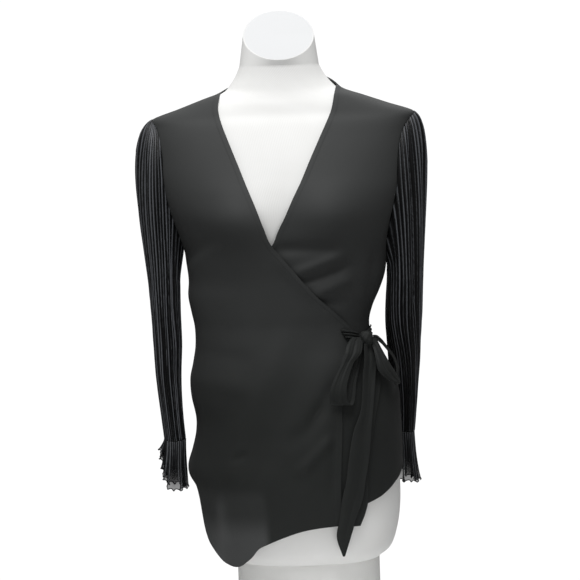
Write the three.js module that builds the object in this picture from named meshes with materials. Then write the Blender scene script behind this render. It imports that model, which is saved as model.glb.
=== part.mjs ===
// Wrap top with pleated sleeves, on a limbless dress form that stands on an oval base.
// Millimetres, +Z up. The wearer's front faces -Y and the wearer's left is +X.
// The origin is the middle of the base's underside.

import * as THREE from "three";

// Cloth walls and the clearances between pieces
const clothThick = 1.2;
const pleatThick = 1.4;
const tieThick = 1.6;
const seamGap = 0.3;
const overLift = 4;
const degree = Math.PI / 180;

// The height of the shoulder seam's outer end
const shoulderTip = 763;

// A table turns each row into an object with the named columns
function table(names, rows) {
  const keys = names.split(" ");
  return rows.map((row) => Object.fromEntries(keys.map((key, i) => [key, row[i]])));
}

// The torso's skin: a closed oval at each height, through its left, right, front and back points.
// Square is the oval's exponent: 2 is an ellipse, and more is boxier.
const formSections = table("z left right front back square", [
  [107, -106, 108, 82, 84, 2.3],
  [120, -122, 124, 94, 96, 2.3],
  [145, -132, 134, 101, 103, 2.3],
  [180, -139, 140, 105, 109, 2.25],
  [220, -143, 141, 107, 112, 2.25],
  [270, -146, 139, 107, 113, 2.2],
  [320, -150, 135, 103, 108, 2.2],
  [362, -150, 129, 98, 101, 2.2],
  [400, -146, 111, 91, 90, 2.2],
  [428, -142, 97, 87, 83, 2.2],
  [452, -142, 92, 86, 80, 2.2],
  [480, -146, 98, 90, 82, 2.2],
  [515, -150, 112, 97, 86, 2.2],
  [550, -154, 121, 104, 89, 2.25],
  [590, -159, 128, 110, 94, 2.4],
  [626, -166, 134, 111, 97, 2.5],
  [654, -172, 140, 106, 98, 2.5],
  [680, -178, 146, 97, 94, 2.5],
  [706, -184, 152, 86, 89, 2.5],
  [734, -190, 158, 72, 80, 2.5],
  [752, -193, 162, 62, 72, 2.4],
  [764, -194, 165, 54, 62, 2.2],
]);

// The torso's shoulder top and the root of its neck, above the shoulder line's end
const neckSections = table("z left right front back square", [
  [772, -177, 148, 51, 60, 2.15],
  [781, -152, 122, 48, 57, 2.1],
  [790, -126, 96, 44, 54, 2.1],
  [799, -101, 71, 41, 52, 2.05],
  [811, -90, 57, 39, 50, 2],
  [823, -82, 48, 38, 48, 2],
  [836, -76, 41, 38, 46, 2],
]);

// The neck ends in an oval face that slants forward
const neckCut = { middle: -17, halfWidth: 52, halfDepth: 42, height: 881, slant: 0.89 };

// The cloth's mid line round the body, at each height
const clothSections = table("z left right front back square", [
  [105, -160, 142, 113, 119, 2.2],
  [165, -165, 146, 117, 122, 2.2],
  [225, -168.5, 146, 117, 122, 2.2],
  [250, -172.5, 146, 116.5, 121.5, 2.2],
  [277, -165, 146, 115, 119.5, 2.2],
  [300, -159.5, 145.5, 113.5, 118, 2.2],
  [322, -158.5, 144.5, 112, 115.5, 2.2],
  [354, -164.5, 143.2, 108.6, 110, 2.2],
  [380, -165, 135, 105.5, 103.5, 2.2],
  [402, -160, 123, 103, 97.5, 2.2],
  [428, -155.5, 106.5, 100.5, 90.2, 2.2],
  [456, -155.5, 102, 100, 86.8, 2.2],
  [478, -159.5, 108, 102.5, 88, 2.2],
  [502, -163.5, 119, 105, 90, 2.2],
  [525, -162, 127, 108, 93, 2.2],
  [550, -164, 131, 111.5, 96, 2.25],
  [573, -167, 135, 114, 98, 2.3],
  [600, -178, 142, 116, 101, 2.4],
  [626, -189, 150, 116, 103, 2.5],
  [654, -199, 159, 111, 103, 2.5],
  [680, -205, 164, 102, 99, 2.5],
  [706, -207, 167, 91, 93, 2.5],
  [734, -208, 170, 77, 84, 2.5],
  [752, -207, 175, 67, 75, 2.4],
  [763, -207, 178, 58, 66, 2.2],
  [777, -168, 139, 54, 63, 2.15],
  [790, -132, 103, 50, 59, 2.1],
  [800, -104, 75, 46, 57, 2.05],
  [812, -94, 62, 45, 55, 2],
  [824, -88, 54, 44, 53, 2],
]);

// The bust of a general figure, the same on torso and cloth: two low swells
const bust = { height: 16, apart: 74, level: 620, wide: 50, tall: 46 };

// Neckline, wrap edge and front edge of the over front, from the shoulder to the hem
const overEdge = table("z x", [
  [160, 47],
  [240, 50],
  [308, 54],
  [345, 55],
  [385, 60],
  [410, 64],
  [422, 71],
  [432, 76],
  [445, 74],
  [458, 66],
  [473, 53],
  [509, 18],
  [545, -10],
  [580, -37],
  [604, -46.5],
  [636, -58.5],
  [665, -70],
  [693, -80.5],
  [720, -91],
  [748, -101.5],
  [761, -105.5],
  [771, -107.6],
  [780, -108],
  [789, -107],
  [799, -105],
]);

// The same for the under front. Below the V it runs on inside the over front.
const underEdge = table("z x", [
  [130, -55],
  [220, -60],
  [300, -80],
  [380, -112],
  [425, -134],
  [450, -136],
  [480, -122],
  [520, -90],
  [555, -58],
  [580, -36],
  [599, -27.5],
  [620, -16.5],
  [645, -4.5],
  [667, 7],
  [700, 22.3],
  [730, 37],
  [750, 47],
  [765, 54],
  [778, 58],
  [790, 60.5],
  [799, 63],
  [806, 65.5],
]);

// Hems by the share of the way from one side edge to the other
const overHem = table("share z", [
  [0, 238],
  [0.14, 236],
  [0.225, 228],
  [0.25, 212],
  [0.262, 192],
  [0.28, 168],
  [0.305, 150],
  [0.335, 139],
  [0.4, 121],
  [0.44, 115],
  [0.475, 112.5],
  [0.51, 114.5],
  [0.53, 118.5],
  [0.57, 128],
  [0.605, 140],
  [0.65, 147],
  [0.735, 157.5],
  [0.812, 165],
  [0.891, 169],
  [1, 171],
]);

const underHem = table("share z", [
  [0, 150],
  [0.2, 170],
  [0.365, 187],
  [0.411, 189.5],
  [0.464, 195],
  [0.527, 200],
  [0.606, 206.5],
  [0.65, 211.5],
  [0.696, 217],
  [0.743, 223],
  [0.801, 229],
  [0.88, 238],
  [1, 242],
]);

const backHem = table("share z", [
  [0, 240],
  [0.1, 238],
  [0.2, 231],
  [0.35, 221],
  [0.5, 216],
  [0.65, 221],
  [0.8, 231],
  [0.9, 239],
  [1, 243],
]);

// The largest creases: each runs from one point of the front to another, as wide and deep as named.
// A negative depth is a trough, and a positive one is a ridge.
const underFolds = table("x0 z0 x1 z1 wide deep", [
  [4, 556, 72, 582, 12, -3],
  [22, 528, 70, 568, 10, 2.5],
  [34, 508, 88, 556, 10, -3.5],
  [50, 496, 98, 524, 9, 2.5],
  [112, 560, 104, 470, 10, -3.5],
]);

// A fold's ends swell and fade over these shares of its length
const foldEnds = { startFrom: -0.2, startTo: 0.2, endFrom: 0.75, endTo: 1.2 };

const backFolds = table("x0 z0 x1 z1 wide deep", [
  [0, 474, -12, 330, 15, -3.4],
  [62, 452, 84, 300, 14, 3],
  [-74, 450, -98, 300, 14, 3],
  [32, 410, 48, 262, 12, -2.8],
  [-36, 414, -54, 250, 12, -2.8],
]);

const overFolds = table("x0 z0 x1 z1 wide deep", [
  [-20, 452, -116, 244, 20, 2.6],
  [24, 440, -74, 236, 22, -1.6],
  [-64, 452, -146, 270, 26, 1.6],
  [37, 298, -9, 249, 11, 3],
  [31, 345, -22, 289, 12, -1.6],
  [44, 312, 38, 216, 11, -1.5],
  [-128, 232, -116, 132, 10, 3],
  [-168, 388, -70, 370, 15, 2.2],
]);

// Value of one column at a place between the rows, on a smooth curve through them
function along(rows, key, column, place) {
  const last = rows.length - 1;
  const at = THREE.MathUtils.clamp(place, rows[0][key], rows[last][key]);
  let i = 0;
  while (i < last - 1 && at > rows[i + 1][key]) i += 1;
  const slope = (k) => {
    const a = rows[Math.max(k - 1, 0)];
    const b = rows[Math.min(k + 1, last)];
    return (b[column] - a[column]) / (b[key] - a[key]);
  };
  const run = rows[i + 1][key] - rows[i][key];
  const t = (at - rows[i][key]) / run;
  const rise = t * t * (3 - 2 * t);
  const leave = t * (1 - t) * (1 - t) * run * slope(i);
  const arrive = t * t * (t - 1) * run * slope(i + 1);
  return rows[i][column] * (1 - rise) + rows[i + 1][column] * rise + leave + arrive;
}

function smooth(from, to, value) {
  return THREE.MathUtils.smoothstep(value, from, to);
}

// The oval at a height, grown by a lift on every side
function section(sections, z, lift = 0) {
  const column = (name) => along(sections, "z", name, z);
  const left = column("left") - lift;
  const right = column("right") + lift;
  return {
    z,
    middle: (left + right) / 2,
    half: (right - left) / 2,
    front: column("front") + lift,
    back: column("back") + lift,
    square: column("square"),
  };
}

// A point of an oval. Angle 0 is the wearer's left side, 90 degrees the front, 180 the right side.
function onOval(oval, angle) {
  const across = Math.cos(angle);
  const depth = Math.sin(angle);
  const power = oval.square;
  const reach = (Math.abs(across) ** power + Math.abs(depth) ** power) ** (-1 / power);
  const x = oval.middle + oval.half * reach * across;
  let y = -(depth > 0 ? oval.front : oval.back) * reach * depth;
  if (depth > 0) {
    const level = Math.exp(-(((oval.z - bust.level) / bust.tall) ** 2));
    const side = Math.abs(x - oval.middle) - bust.apart;
    y -= bust.height * level * Math.exp(-((side / bust.wide) ** 2)) * depth;
  }
  return new THREE.Vector3(x, y, oval.z);
}

// The angle at which the front of the cloth has a given x
function angleAt(x, z, lift = 0) {
  const oval = section(clothSections, z, lift);
  const across = THREE.MathUtils.clamp((x - oval.middle) / oval.half, -1, 1);
  const depth = (1 - Math.abs(across) ** oval.square) ** (1 / oval.square);
  return Math.atan2(depth, across);
}

// The front of the cloth at a given x and height, moved out by a lift
function frontAt(x, z, lift) {
  return onOval(section(clothSections, z, lift), angleAt(x, z, lift));
}

// How far all the folds of a list push the cloth out at a place
function foldRise(folds, x, z) {
  let rise = 0;
  for (const fold of folds) {
    const dx = fold.x1 - fold.x0;
    const dz = fold.z1 - fold.z0;
    const length = Math.hypot(dx, dz);
    const run = ((x - fold.x0) * dx + (z - fold.z0) * dz) / (length * length);
    const off = ((x - fold.x0) * dz - (z - fold.z0) * dx) / length;
    const { startFrom, startTo, endFrom, endTo } = foldEnds;
    const ends = smooth(startFrom, startTo, run) * (1 - smooth(endFrom, endTo, run));
    rise += fold.deep * ends * Math.exp(-((off / fold.wide) ** 2));
  }
  return rise;
}

// A closed wall of even thickness round a grid of points: grid[row][column].
// With loop true the last column joins the first, as on a tube.
// Ripple is how far a point of the grid moves out, for pleats and waves.
function wall(grid, thick, { loop = false, ripple = () => 0 } = {}) {
  const rows = grid.length;
  const columns = grid[0].length;
  const wrap = (c) => (loop ? (c + columns) % columns : THREE.MathUtils.clamp(c, 0, columns - 1));
  const points = [];
  const side = (r, c, sign) => {
    const up = grid[Math.min(r + 1, rows - 1)][c].clone().sub(grid[Math.max(r - 1, 0)][c]);
    const step = grid[r][wrap(c + 1)].clone().sub(grid[r][wrap(c - 1)]);
    const normal = step.cross(up).normalize();
    return grid[r][c].clone().addScaledVector(normal, (sign * thick) / 2 + ripple(r, c));
  };
  for (const sign of [1, -1]) {
    for (let r = 0; r < rows; r += 1) {
      for (let c = 0; c < columns; c += 1) points.push(side(r, c, sign));
    }
  }
  const faces = [];
  const inner = rows * columns;
  const id = (r, c) => r * columns + wrap(c);
  const quad = (a, b, c, d) => faces.push(a, b, c, a, c, d);
  const bands = loop ? columns : columns - 1;
  for (let r = 0; r < rows - 1; r += 1) {
    for (let c = 0; c < bands; c += 1) {
      quad(id(r, c), id(r, c + 1), id(r + 1, c + 1), id(r + 1, c));
      quad(inner + id(r, c), inner + id(r + 1, c), inner + id(r + 1, c + 1), inner + id(r, c + 1));
    }
  }
  for (let c = 0; c < bands; c += 1) {
    quad(id(0, c + 1), id(0, c), inner + id(0, c), inner + id(0, c + 1));
    quad(id(rows - 1, c), id(rows - 1, c + 1), inner + id(rows - 1, c + 1), inner + id(rows - 1, c));
  }
  if (!loop) {
    for (let r = 0; r < rows - 1; r += 1) {
      quad(id(r, 0), id(r + 1, 0), inner + id(r + 1, 0), inner + id(r, 0));
      const [low, high] = [id(r, columns - 1), id(r + 1, columns - 1)];
      quad(high, low, inner + low, inner + high);
    }
  }
  return bodyOf(points, faces);
}

// A solid through closed rings, from the lowest to the highest, with a flat face at each end
function loft(rings) {
  const count = rings[0].length;
  const points = rings.flat();
  const faces = [];
  for (let r = 0; r < rings.length - 1; r += 1) {
    for (let c = 0; c < count; c += 1) {
      const a = r * count + c;
      const b = r * count + ((c + 1) % count);
      faces.push(a, b + count, b, a, a + count, b + count);
    }
  }
  const ends = [0, (rings.length - 1) * count];
  ends.forEach((start, end) => {
    const middle = new THREE.Vector3();
    for (let c = 0; c < count; c += 1) middle.addScaledVector(points[start + c], 1 / count);
    points.push(middle);
    for (let c = 0; c < count; c += 1) {
      const a = start + c;
      const b = start + ((c + 1) % count);
      if (end === 0) faces.push(points.length - 1, a, b);
      else faces.push(points.length - 1, b, a);
    }
  });
  return bodyOf(points, faces);
}

// Points and faces as a geometry whose faces point out
function bodyOf(points, faces) {
  let volume = 0;
  for (let i = 0; i < faces.length; i += 3) {
    const [a, b, c] = [points[faces[i]], points[faces[i + 1]], points[faces[i + 2]]];
    volume += a.dot(b.clone().cross(c));
  }
  if (volume < 0) {
    for (let i = 0; i < faces.length; i += 3) [faces[i + 1], faces[i + 2]] = [faces[i + 2], faces[i + 1]];
  }
  const geometry = new THREE.BufferGeometry();
  geometry.setFromPoints(points);
  geometry.setIndex(faces);
  geometry.computeVertexNormals();
  return geometry;
}

// Armholes: loops that stand nearly upright, front and back of the side line
const armholes = {
  right: { sign: -1, side: Math.PI, bottom: 573, front: 52, back: 60 },
  left: { sign: 1, side: 0, bottom: 545, front: 54, back: 62 },
};

// How far an armhole stands in front of or behind the side line at a height
function armholeDepth(hole, z, face) {
  const middle = (shoulderTip + hole.bottom) / 2;
  const half = (shoulderTip - hole.bottom) / 2;
  const share = THREE.MathUtils.clamp((z - middle) / half, -1, 1);
  return hole[face] * Math.sqrt(1 - share * share);
}

// A point on the armhole loop. Turn 0 is the shoulder, 90 degrees the front, 180 the armpit.
function onArmhole(hole, turn) {
  const middle = (shoulderTip + hole.bottom) / 2;
  const half = (shoulderTip - hole.bottom) / 2;
  const z = middle + half * Math.cos(turn);
  const face = Math.sin(turn) > 0 ? "front" : "back";
  return onOval(section(clothSections, z), armholeAngle(hole, z, face));
}

// The angle round the body of an armhole's edge at a height
function armholeAngle(hole, z, face) {
  const oval = section(clothSections, z);
  const depth = armholeDepth(hole, z, face) / oval[face];
  const across = (1 - depth ** oval.square) ** (1 / oval.square);
  const rise = Math.atan2(depth, across) * (face === "front" ? 1 : -1);
  return hole.side + (hole.sign > 0 ? rise : -rise);
}

// The angle of a panel's edge along the side seam, the armhole and the shoulder seam
function seamAngle(hole, z, face) {
  const toward = (face === "front") === hole.sign > 0 ? 1 : -1;
  const gap = (toward * seamGap) / 2 / section(clothSections, z)[face];
  const open = z > hole.bottom && z < shoulderTip;
  return (open ? armholeAngle(hole, z, face) : hole.side) + gap;
}

// A panel of the body. Its rows run from the hem to the top, each from one edge to the other.
// The rows bend from level to the hem's curve below hemFrom, and to the top's curve above topFrom.
function panel({ heights, columns, from, to, hem, hemFrom, top, topFrom, lift, folds, facing = 1 }) {
  const lowest = heights[0];
  const highest = heights[heights.length - 1];
  const bend = (height, share) => {
    if (height < hemFrom) {
      const up = (height - lowest) / (hemFrom - lowest);
      return THREE.MathUtils.lerp(along(hem, "share", "z", share), hemFrom, up);
    }
    if (top && height > topFrom) {
      const up = (height - topFrom) / (highest - topFrom);
      return THREE.MathUtils.lerp(topFrom, along(top, "share", "z", share), up);
    }
    return height;
  };
  const grid = heights.map((height) => {
    const line = [];
    for (let c = 0; c <= columns; c += 1) {
      const share = c / columns;
      const z = bend(height, share);
      const angle = THREE.MathUtils.lerp(from(z), to(z), share);
      const plain = onOval(section(clothSections, z), angle);
      const out = lift(angle, z) + foldRise(folds, plain.x, z) * Math.max(facing * Math.sin(angle), 0);
      line.push(onOval(section(clothSections, z, out), angle));
    }
    return line;
  });
  return wall(grid, clothThick);
}

// The over front stands off far enough to clear the under front, and lies close elsewhere.
// It comes down to the body towards its side seam, sooner above the armpit, and up the chest.
const overSpan = {
  waistAngle: 152,
  chestAngle: 118,
  blend: 20,
  armpitFrom: 540,
  armpitTo: 590,
  chestFrom: 600,
  chestTo: 650,
};

function overLiftAt(angle, z) {
  const { waistAngle, chestAngle, blend, armpitFrom, armpitTo, chestFrom, chestTo } = overSpan;
  const fadeFrom = THREE.MathUtils.lerp(waistAngle, chestAngle, smooth(armpitFrom, armpitTo, z));
  const beside = 1 - smooth(fadeFrom * degree, (fadeFrom + blend) * degree, angle);
  return overLift * beside * (1 - smooth(chestFrom, chestTo, z));
}

function frontOver() {
  return panel({
    heights: [
      160, 185, 215, 250, 285, 320, 350, 378, 400, 418, 432, 446, 458, 472, 490, 514, 540, 560, 572, 577,
      586, 600, 620, 646, 674, 702, 728, 748, 763, 774, 785, 794, 799,
    ],
    columns: 14,
    from: (z) => seamAngle(armholes.right, z, "front"),
    to: (z) => angleAt(along(overEdge, "z", "x", z), z),
    hem: overHem,
    hemFrom: 320,
    lift: overLiftAt,
    folds: overFolds,
  });
}

function frontUnder() {
  return panel({
    heights: [
      160, 195, 230, 265, 300, 340, 378, 408, 432, 455, 478, 500, 522, 544, 549, 558, 572, 590, 612, 638,
      666, 692, 718, 742, 763, 775, 786, 795, 805,
    ],
    columns: 13,
    from: (z) => angleAt(along(underEdge, "z", "x", z), z),
    to: (z) => seamAngle(armholes.left, z, "front"),
    hem: underHem,
    hemFrom: 300,
    lift: () => 0,
    folds: underFolds,
  });
}

// The back neckline rises a little round the root of the neck
const backNeck = table("share z", [
  [0, 799.7],
  [0.08, 804],
  [0.16, 809.5],
  [0.3, 814],
  [0.5, 817],
  [0.7, 819],
  [0.84, 818.5],
  [0.92, 814],
  [0.97, 809],
  [1, 806],
]);

function back() {
  return panel({
    heights: [
      215, 245, 277, 310, 350, 385, 415, 445, 475, 510, 544, 549, 558, 572, 577, 586, 602, 628, 658, 688,
      716, 740, 754, 763, 773, 783, 794, 806,
    ],
    columns: 14,
    from: (z) => seamAngle(armholes.right, z, "back"),
    to: (z) => seamAngle(armholes.left, z, "back") + 2 * Math.PI,
    hem: backHem,
    hemFrom: 310,
    top: backNeck,
    topFrom: 783,
    lift: () => 0,
    folds: backFolds,
    facing: -1,
  });
}

// The sleeves hang as ovals: their middle, half widths across and along the arm's side, and their turn
const sleeves = {
  right: {
    hole: armholes.right,
    setOut: 1.4,
    bulge: 140,
    tuck: 20,
    rings: table("z x y across along turn", [
      [290, -191.6, 0, 14.4, 31, 0],
      [336, -194.9, 0, 15.1, 36, 0],
      [384, -197.4, 0, 17.1, 40, 0],
      [432, -197.1, 0, 19.4, 43, 0],
      [480, -198.1, 0, 19.9, 45, 0],
      [520, -198.6, 0, 21.4, 46, 0],
    ]),
  },
  left: {
    hole: armholes.left,
    setOut: 1.9,
    bulge: 95,
    tuck: 10,
    rings: table("z x y across along turn", [
      [283, 150, 58, 12, 32, 20],
      [320, 152, 57, 14, 37, 18],
      [360, 153.5, 50, 17, 40, 15],
      [400, 154, 34, 20.5, 43, 12],
      [456, 154, 14, 25, 45, 5],
      [520, 158, 4, 25.6, 46, 0],
    ]),
  },
};

const pleats = { count: 36, atSeam: 0.7, full: 1.9, atCuff: 1.4, capRows: 6, armRows: 5 };

// A point of a sleeve's hanging oval. Turn 0 is the outer side, 90 degrees the front.
function onSleeveOval(sleeve, turn, z, grow = 0) {
  const column = (name) => along(sleeve.rings, "z", name, z);
  const tilt = column("turn") * degree;
  const outward = Math.cos(turn) * (column("across") + grow);
  const forward = Math.sin(turn) * (column("along") + grow);
  const x = column("x") + sleeve.hole.sign * (outward * Math.cos(tilt) + forward * Math.sin(tilt));
  const y = column("y") + outward * Math.sin(tilt) - forward * Math.cos(tilt);
  return new THREE.Vector3(x, y, z);
}

// How the cap's curves leave the armhole and arrive at the arm: sideways, forward and down
const cap = {
  armpitOut: 8,
  armpitSetOut: 1.2,
  armpitDown: 55,
  shoulderDown: 205,
  leaveDown: 58,
  forward: 14,
  crowd: 1.2,
};

// The cap rolls out of the armhole and down to the arm, on a cubic curve for each pleat
function onSleeveCap(sleeve, turn, share) {
  const { hole, rings, bulge, tuck } = sleeve;
  const upper = (1 + Math.cos(turn)) / 2;
  const start = onArmhole(hole, turn);
  start.x += hole.sign * (sleeve.setOut + cap.armpitSetOut * (1 - upper) ** 2);
  const end = onSleeveOval(sleeve, turn, rings[rings.length - 1].z);
  const out = THREE.MathUtils.lerp(cap.armpitOut, bulge, upper);
  const leave = new THREE.Vector3(hole.sign * out, -cap.forward * Math.sin(turn), -cap.leaveDown);
  const arrive = new THREE.Vector3(-hole.sign * tuck * upper, 0, -cap.armpitDown - cap.shoulderDown * upper);
  const rise = share * share * (3 - 2 * share);
  return start
    .multiplyScalar(1 - rise)
    .addScaledVector(end, rise)
    .addScaledVector(leave, share * (1 - share) * (1 - share))
    .addScaledVector(arrive, share * share * (share - 1));
}

function pleatedSleeve(sleeve) {
  const count = 2 * pleats.count;
  const rings = sleeve.rings;
  const top = rings[rings.length - 1].z;
  const bottom = rings[0].z;
  const rows = pleats.capRows + pleats.armRows;
  const grid = [];
  for (let r = 0; r <= rows; r += 1) {
    const line = [];
    for (let c = 0; c < count; c += 1) {
      const turn = (c / count) * 2 * Math.PI;
      if (r <= pleats.capRows) line.push(onSleeveCap(sleeve, turn, (r / pleats.capRows) ** cap.crowd));
      else {
        const down = (r - pleats.capRows) / pleats.armRows;
        line.push(onSleeveOval(sleeve, turn, THREE.MathUtils.lerp(top, bottom, down)));
      }
    }
    grid.push(line);
  }
  const deep = (r) => {
    if (r <= pleats.capRows) return THREE.MathUtils.lerp(pleats.atSeam, pleats.full, r / pleats.capRows);
    return THREE.MathUtils.lerp(pleats.full, pleats.atCuff, (r - pleats.capRows) / pleats.armRows);
  };
  return wall(grid, pleatThick, { loop: true, ripple: (r, c) => (c % 2 ? deep(r) : -deep(r)) });
}

// The flounces: how far they drop below the sleeve, the turn of the slit in their side and how much
// of the drop it gives up, and how they flare and lean out
const cuffs = {
  right: { drop: 72, slit: 10, climb: 58, flare: 3, lean: -4 },
  left: { drop: 74, slit: 250, climb: 58, flare: 3, lean: 2 },
};

const waves = { count: 14, points: 4, rows: 3, atSeam: 0.8, atEdge: 4.6, flareBend: 1.5, waveBend: 1.8 };
const slitSharp = 10;
const cuffGap = 1.1;
const edgeSamples = 720;

// A point of a flounce at a share of the way down from its seam
function onFlounce(sleeve, cuff, turn, down) {
  const beside = ((1 + Math.cos(turn - cuff.slit * degree)) / 2) ** slitSharp;
  const point = onSleeveOval(sleeve, turn, sleeve.rings[0].z, cuff.flare * down ** waves.flareBend);
  point.x += cuff.lean * down;
  point.z = sleeve.rings[0].z - cuffGap - down * (cuff.drop - cuff.climb * beside);
  return point;
}

// Turns that stand evenly along a flounce's lower edge, so that its waves are of one length
function evenTurns(sleeve, cuff, count) {
  const turnAt = (i) => (i / edgeSamples) * 2 * Math.PI;
  const run = [0];
  for (let i = 1; i <= edgeSamples; i += 1) {
    const step = onFlounce(sleeve, cuff, turnAt(i), 1).distanceTo(onFlounce(sleeve, cuff, turnAt(i - 1), 1));
    run.push(run[i - 1] + step);
  }
  const turns = [];
  for (let c = 0, i = 0; c < count; c += 1) {
    const goal = (c / count) * run[edgeSamples];
    while (run[i + 1] < goal) i += 1;
    turns.push(turnAt(i + (goal - run[i]) / (run[i + 1] - run[i])));
  }
  return turns;
}

function flounce(sleeve, cuff) {
  const turns = evenTurns(sleeve, cuff, waves.count * waves.points);
  const grid = [];
  for (let r = 0; r <= waves.rows; r += 1) {
    grid.push(turns.map((turn) => onFlounce(sleeve, cuff, turn, r / waves.rows)));
  }
  const deep = (r) => THREE.MathUtils.lerp(waves.atSeam, waves.atEdge, (r / waves.rows) ** waves.waveBend);
  const wave = (c) => Math.sin((c / waves.points) * 2 * Math.PI);
  return wall(grid, clothThick, { loop: true, ripple: (r, c) => deep(r) * wave(c) });
}

// A ribbon on the cloth, along rows that give its angle round the body, its height, how far it
// stands off, its width, and the way its width leans from level
const ribbonRadius = 125;

function ribbon(rows, { steps, columns = 2, folds = 0, deep = 0 }) {
  const rowCount = rows.length - 1;
  const path = rows.map((row, i) => ({ ...row, step: i }));
  const grid = [];
  for (let r = 0; r <= steps; r += 1) {
    const place = (r / steps) * rowCount;
    const value = (name) => along(path, "step", name, place);
    const lean = value("lean") * degree;
    const line = [];
    for (let c = 0; c <= columns; c += 1) {
      const off = (c / columns - 0.5) * value("wide");
      const angle = value("angle") * degree - (off * Math.cos(lean)) / ribbonRadius;
      const gather = deep * Math.sin((c / columns) * folds * 2 * Math.PI);
      const z = value("z") + off * Math.sin(lean);
      line.push(onOval(section(clothSections, z, value("lift") + gather), angle));
    }
    grid.push(line);
  }
  return wall(grid, tieThick);
}

const loopRight = table("angle z lift wide lean", [
  [43.3, 436, 14, 14, -5],
  [46.8, 433.5, 17.6, 18, -6],
  [49.1, 429, 21.5, 23, -6],
  [52.5, 421, 24.5, 21, -7],
  [55.5, 414, 24, 17, -5],
  [58.6, 407, 22.5, 14, -4],
  [62.9, 394, 21.5, 14, -6],
  [67, 378, 21.5, 16, -5],
  [68.9, 364, 20, 18, -5],
  [68.9, 353, 16, 20, -4],
  [67.1, 346.5, 11.5, 23, -6],
  [64.6, 350, 9.4, 21, -5],
  [62.3, 361, 9.4, 18, -6],
  [58.5, 380, 9.4, 15, -5],
  [52, 401, 9.4, 13, -6],
  [46, 419, 10, 10, -7],
]);

const loopLeft = table("angle z lift wide lean", [
  [30, 434, 15, 12, 40],
  [31, 427, 19, 17, 27],
  [33.6, 416, 22.5, 21, 16],
  [36.2, 402, 23.5, 24, 9],
  [35.8, 390, 22, 26, 3],
  [32.2, 379, 18.5, 22, 2],
  [28, 371, 16.5, 17, 4],
  [25.5, 366.5, 13, 15, 5],
  [23.5, 366.5, 9.5, 15, 6],
  [21, 371, 9, 16, 8],
  [17, 379, 10.5, 17, 9],
  [13.5, 389, 13.5, 19, 10],
  [11.5, 400, 16, 20, 12],
  [12, 413, 17, 18, 14],
  [15, 425, 17, 15, 18],
  [17.5, 430, 16.5, 12, 22],
]);

// The two tails, by their left and right edges on the front and how far they stand off
const tailFront = table("z left right lift", [
  [126, 50, 53, 6.5],
  [155, 42, 63, 6.5],
  [182, 47, 72, 6.2],
  [207, 51, 82, 6.2],
  [233, 58, 87, 6],
  [271, 64, 94, 6],
  [308, 72, 98, 6],
  [332, 82, 101, 6.2],
  [358, 86, 104, 7],
  [386, 88, 106, 8.5],
  [406, 90, 105, 11.5],
  [416, 90.5, 103, 14],
  [426.3, 91, 101, 17.5],
]);

const tailBack = table("z left right lift", [
  [168, 60, 77, 2.4],
  [186, 60, 85, 2.4],
  [206, 62, 90, 2.4],
  [250, 66, 91, 2.4],
  [300, 76, 100, 2.4],
  [340, 88, 108, 2.4],
  [370, 99, 114, 2.6],
  [398, 96, 110, 4],
  [416, 94, 106, 8.5],
  [426.3, 94, 103, 13.5],
]);

const tailColumns = 3;

function tail(rows, steps) {
  const low = rows[0].z;
  const high = rows[rows.length - 1].z;
  const grid = [];
  for (let r = 0; r <= steps; r += 1) {
    const z = THREE.MathUtils.lerp(low, high, r / steps);
    const value = (name) => along(rows, "z", name, z);
    const line = [];
    for (let c = 0; c <= tailColumns; c += 1) {
      const x = THREE.MathUtils.lerp(value("left"), value("right"), c / tailColumns);
      line.push(frontAt(x, z, value("lift")));
    }
    grid.push(line);
  }
  return wall(grid, tieThick);
}

// The knot: a soft round lump, a little flat at the back
const knot = { x: 95, z: 437, lift: 15, halfX: 10, halfY: 8.5, halfZ: 11, around: 14, levels: 8, round: 0.7 };

function tieKnot() {
  const middle = frontAt(knot.x, knot.z, knot.lift);
  const rings = [];
  for (let r = 1; r < knot.levels; r += 1) {
    const rise = (r / knot.levels - 0.5) * Math.PI;
    const ring = [];
    for (let c = 0; c < knot.around; c += 1) {
      const turn = (c / knot.around) * 2 * Math.PI;
      const wide = Math.cos(rise) ** knot.round;
      ring.push(
        new THREE.Vector3(
          middle.x + knot.halfX * wide * Math.cos(turn),
          middle.y + knot.halfY * wide * Math.sin(turn),
          middle.z + knot.halfZ * Math.sin(rise),
        ),
      );
    }
    rings.push(ring);
  }
  return loft(rings);
}

// The over front's end, gathered in three folds towards the knot
const gathers = table("angle z lift wide lean", [
  [50, 445, 7.6, 17, -62],
  [46, 443.5, 8, 15, -70],
  [42, 441.5, 8.4, 12, -80],
  [39.4, 440, 7.6, 9, -88],
]);

// The second tie, from the side seam to the knot
const rootRows = table("angle z lift wide lean", [
  [3, 443, 2.8, 15, 90],
  [12, 442, 3.8, 15, 90],
  [22, 440, 6, 14, 90],
  [32, 438, 8.6, 12, 90],
]);

const formAround = 32;
const neckShares = [0.45, 1];

function dressForm() {
  const heights = [
    107, 113, 124, 145, 180, 220, 270, 320, 362, 395, 425, 452, 480, 515, 550, 580, 605, 630, 656, 682,
    708, 734, 752, 764, 772, 781, 790, 799, 811, 823, 836,
  ];
  const turns = Array.from({ length: formAround }, (_, i) => (i / formAround) * 2 * Math.PI);
  const sections = [...formSections, ...neckSections];
  const rings = heights.map((z) => turns.map((turn) => onOval(section(sections, z), turn)));
  const root = rings[rings.length - 1];
  const cut = turns.map((turn) => {
    const x = neckCut.middle + neckCut.halfWidth * Math.cos(turn);
    const y = -neckCut.halfDepth * Math.sin(turn);
    return new THREE.Vector3(x, y, neckCut.height + neckCut.slant * y);
  });
  for (const share of neckShares) {
    rings.push(root.map((point, i) => point.clone().lerp(cut[i], share)));
  }
  return loft(rings);
}

// The base: a plain oval block with a softened lower edge
const base = { halfWidth: 106, halfDepth: 80, height: 106.6, middle: 1, edge: 4, around: 40 };

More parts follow.
